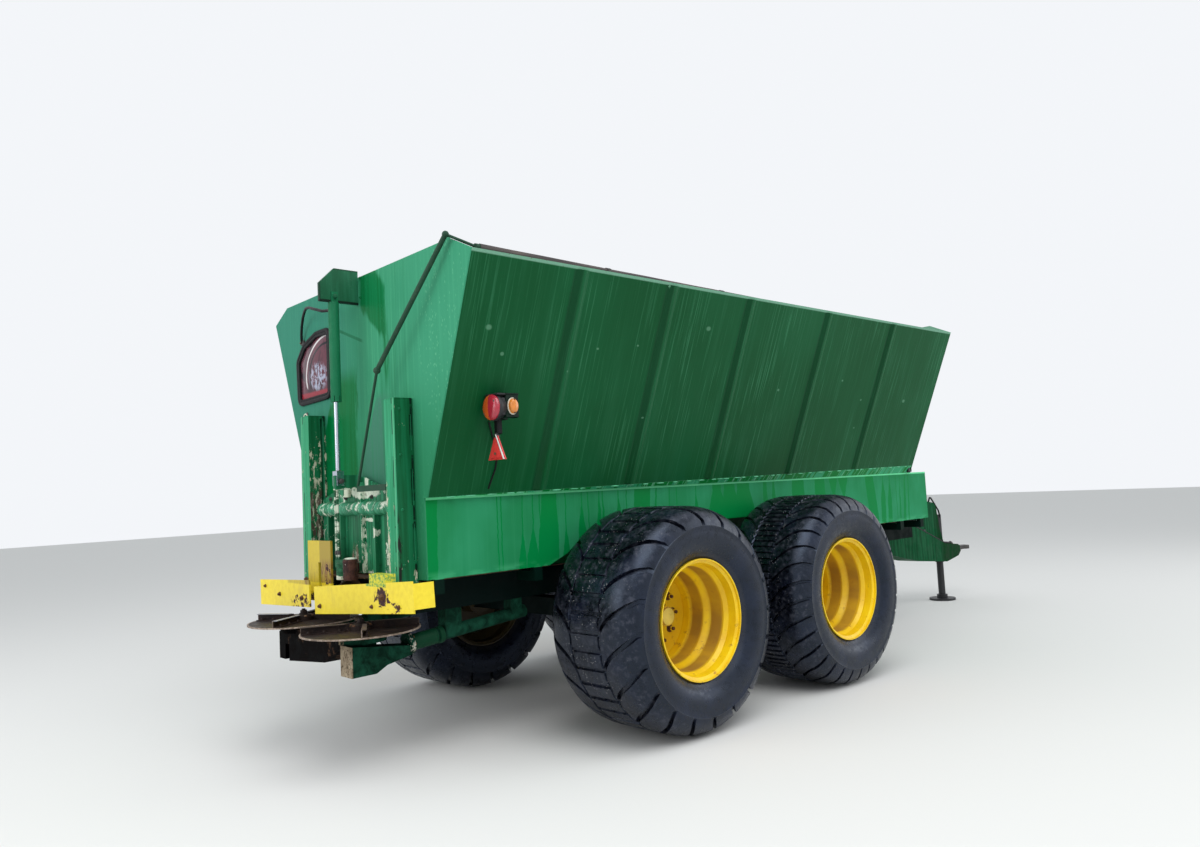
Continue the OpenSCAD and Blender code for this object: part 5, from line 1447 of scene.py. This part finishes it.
def guard_fittings():
    """Bolts that hold the guard bars, with their heads at the back."""
    form = Form()
    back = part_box("guards")[0].x
    for y, z, size in ((-0.66, 0.955, 30), (-0.55, 0.900, 18), (-0.83, 0.915, 18), (0.06, 0.865, 22),
                       (0.30, 0.900, 22), (0.62, 0.905, 22), (0.84, 0.945, 18)):
        form.bolt((back - 0.0005, y, z), -X, size, "nut", 4)
    make("guard_fittings", form, "root")


guard_fittings()


def spinner_fittings(side):
    """Hub cap, bolts and turned edges of one spinner disc's vanes."""
    form = Form()
    middle = Vector((SPINNER_X, SIGN[side] * SPINNER_Y, SPINNER_TOP))
    form.lathe(middle + Z * 0.023, Z, [(50, 0), (50, 4), (30, 12), (18, 14)], "disc", 32)
    form.bolt(middle + Z * 0.036, Z, 40, "disc", 8)
    for ray in rays(X, Y, 6, 0.3):
        form.bolt(middle + ray * 0.052 + Z * 0.0225, Z, 14, "nut")
    # each vane's foot, bolted to the disc, and the turned edge on its top
    foot = [(0.075, 0.0), (0.305, 0.0), (0.300, 0.034), (0.082, 0.030)]
    lip = [(0.070, -0.0065), (0.309, -0.0065), (0.303, 0.022), (0.082, 0.016)]
    for ray in rays(X, Y, 4, radians(30) * SIGN[side]):
        across = Z.cross(ray)
        base = middle + across * 0.020
        form.plate(foot, base + Z * 0.0002, ray, across, 0.005, "disc", 0.0012)
        form.plate(lip, base + Z * 0.0360, ray, across, 0.0035, "vane" if side == "left" else "worn", 0.001)
        for r in (0.11, 0.19, 0.27):
            form.bolt(base + ray * r + across * 0.017 + Z * 0.005, Z, 16, "disc", 3)
    make("spinner_fittings_" + side, form, "spinner_" + side)


spinner_fittings("right")
spinner_fittings("left")


def frame_fittings():
    """Collars on the spinner frame's sloping tubes, and the pins and nuts of the tandem's pivots."""
    form = Form()
    for side in (-1, 1):
        low, high = (Vector(at(x, side * y, z)) for x, y, z in TUBE)
        run = (high - low).normalized()
        form.lathe(low + run * 0.20, run, [(38.5, 0), (47, 2), (47, 30), (38.5, 32)], "frame", 32)
        form.lathe(low + run * 0.02, run, [(40, 0), (45, 4), (45, 165), (40, 170)], "frame", 32)
        first = run.orthogonal().normalized()
        for ray in rays(first, run.cross(first), 8):
            form.bolt(low + ray * 0.051 + run * 0.026, run, 14, "nut")
        for out in (-1, 1):
            face = side * BOGIE_Y + out * BOGIE_HALF_W
            form.lathe(at(0, face, BOGIE_Z), Y * out, [(50, 0), (50, 8), (38, 10), (38, 22), (30, 26)],
                       "nut", 28)
            for x in AXLE_X.values():
                for dx in (-0.048, 0.048):
                    form.bolt((x + dx, face, BOGIE_Z + 0.02), Y * out, 30, "nut", 6)
    make("frame_fittings", form, "root")


frame_fittings()


def nose_fittings():
    """Splines on the input shaft, cover bolts on its gearbox, and what is fixed to the drawbar."""
    form = Form()
    shaft_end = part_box("pto_input")[1].x
    z = middle_of("pto_input", 2)
    shaft_l = 0.086
    spline = [(0.0120, -0.0036), (0.0172, -0.0030), (0.0172, 0.0030), (0.0120, 0.0036)]
    for ray in rays(Y, Z, 6):
        form.plate(spline, (shaft_end - shaft_l, 0, z), ray, X.cross(ray), shaft_l - 0.001, "steel", 0.0006)
    box_x = shaft_end - 0.09
    form.lathe((box_x - 0.0005, 0, z), X, [(70, 0), (70, 8), (45, 12), (40, 22), (24, 24)], "steel", 36)
    for ray in rays(Y, Z, 6, 0.5):
        form.bolt(Vector((box_x + 0.0075, 0, z)) + ray * 0.060, X, 14, "nut")
    for y in (-0.078, 0.078):
        for dz in (-0.078, 0.078):
            form.bolt((box_x - 0.0005, y, z + dz), X, 16, "nut")
    nose_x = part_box("hitch_eye")[0].x
    eye_z = middle_of("hitch_eye", 2)
    for y in (-0.058, 0.058):
        for dz in (-0.020, 0.020):
            form.bolt((nose_x + 0.0158, y, eye_z + dz), X, 20, "nut", 4)
    for side in (-1, 1):
        # couplings on the two hoses' ends
        x, y, z = BAR_HOSE_END
        end = Vector(at(x, side * y, z))
        run = Vector((0.34, side * -0.05, -0.115)).normalized()
        form.lathe(end - run * 0.030, run, [(11.8, 0), (13.5, 2), (13.5, 26), (11.8, 28)], "steel", 14)
        form.lathe(end, run, [(12.5, 0), (16.5, 1), (16.5, 16), (12.5, 18), (12.5, 40), (9.5, 42),
                              (9.5, 60)], "steel", 6)
        # straps that hold the hoses to the drawbar's sides
        for x, z in ((4.02, 0.868), (4.42, 0.742), (4.76, 0.648)):
            strap = Vector(at(x, side * 0.098, z))
            form.block(strap - Vector((0.010, 0.0135, 0.004)), strap + Vector((0.010, 0.0135, 0.036)),
                       "black")
    # stay from the plates' top to the jack's head, with its clip lower down
    stay = [(4.660, -0.066, 1.122), (4.690, -0.068, 1.165), (4.720, -0.066, 1.160), (4.900, -0.054, 1.010),
            (4.935, -0.048, 0.958), (4.938, -0.046, 0.930)]
    form.tube([at(*place) for place in stay], 0.009, "rubber", 10)
    form.block(at(4.490, -0.074, 0.790), at(4.535, -0.0635, 0.822), "black")
    make("nose_fittings", form, "root")


nose_fittings()


# Floor, light and camera
def set_stage():
    """Pale floor, even sky and soft lamps."""
    bpy.ops.mesh.primitive_plane_add(size=90, location=(0, 0, -0.001))
    floor = bpy.context.object
    floor.name = "stage_floor"
    g = Graph("stage_floor")
    g.color = srgb(222, 222, 220)
    floor.data.materials.append(g.finish(0.9))
    world = bpy.data.worlds.new("world")
    bpy.context.scene.world = world
    world.use_nodes = True
    sky = Tree(world.node_tree)
    seen = sky.add("ShaderNodeBackground", [(0.9, 0.92, 0.95, 1), 1.0])
    light = sky.add("ShaderNodeBackground", [(0.93, 0.97, 1.0, 1), 0.72])
    shows = sky.any_of([sky.add("ShaderNodeLightPath", out="Is %s Ray" % kind)
                        for kind in ("Camera", "Glossy", "Transmission")])
    sky.add("ShaderNodeOutputWorld", [sky.add("ShaderNodeMixShader", [shows, light, seen])])

    # (name, place, size, power) of the soft lamps, aimed at the machine's middle
    lamps = [
        ("sky_lamp", (-4.0, -5.0, 9.0), 8.0, 620),
        ("rear_lamp", (-11.0, 2.0, 5.0), 6.0, 260),
        ("front_lamp", (8.0, -7.0, 5.0), 6.0, 200),
    ]
    for name, place, size, power in lamps:
        data = bpy.data.lights.new(name, "AREA")
        data.size = size
        data.energy = power
        lamp = bpy.data.objects.new(name, data)
        bpy.context.scene.collection.objects.link(lamp)
        lamp.location = place
        aim = Vector((-0.5, 0, 1.2)) - Vector(place)
        lamp.rotation_euler = aim.to_track_quat("-Z", "Y").to_euler()


def set_camera():
    """The photograph's camera, fitted to the machine's corners and wheels."""
    place = Vector((TANDEM_X - 4.740, -4.831, 1.467))
    focal_px = 880.667
    photo_width = 1200
    yaw, pitch, roll = (radians(v) for v in (46.983, 4.130, -2.900))
    forward = Vector((cos(yaw) * cos(pitch), sin(yaw) * cos(pitch), sin(pitch)))
    right = forward.cross(Z).normalized()
    up = right.cross(forward)
    turned_right = right * cos(roll) + up * sin(roll)
    turned_up = -right * sin(roll) + up * cos(roll)
    data = bpy.data.cameras.new("camera")
    data.sensor_width = 36.0
    data.lens = data.sensor_width * focal_px / photo_width
    data.clip_end = 200
    camera = bpy.data.objects.new("camera", data)
    bpy.context.scene.collection.objects.link(camera)
    turn = Matrix((turned_right, turned_up, -forward)).transposed().to_4x4()
    camera.matrix_world = Matrix.Translation(place) @ turn
    bpy.context.scene.camera = camera


set_stage()
set_camera()
bpy.context.scene.view_settings.view_transform = "Standard"
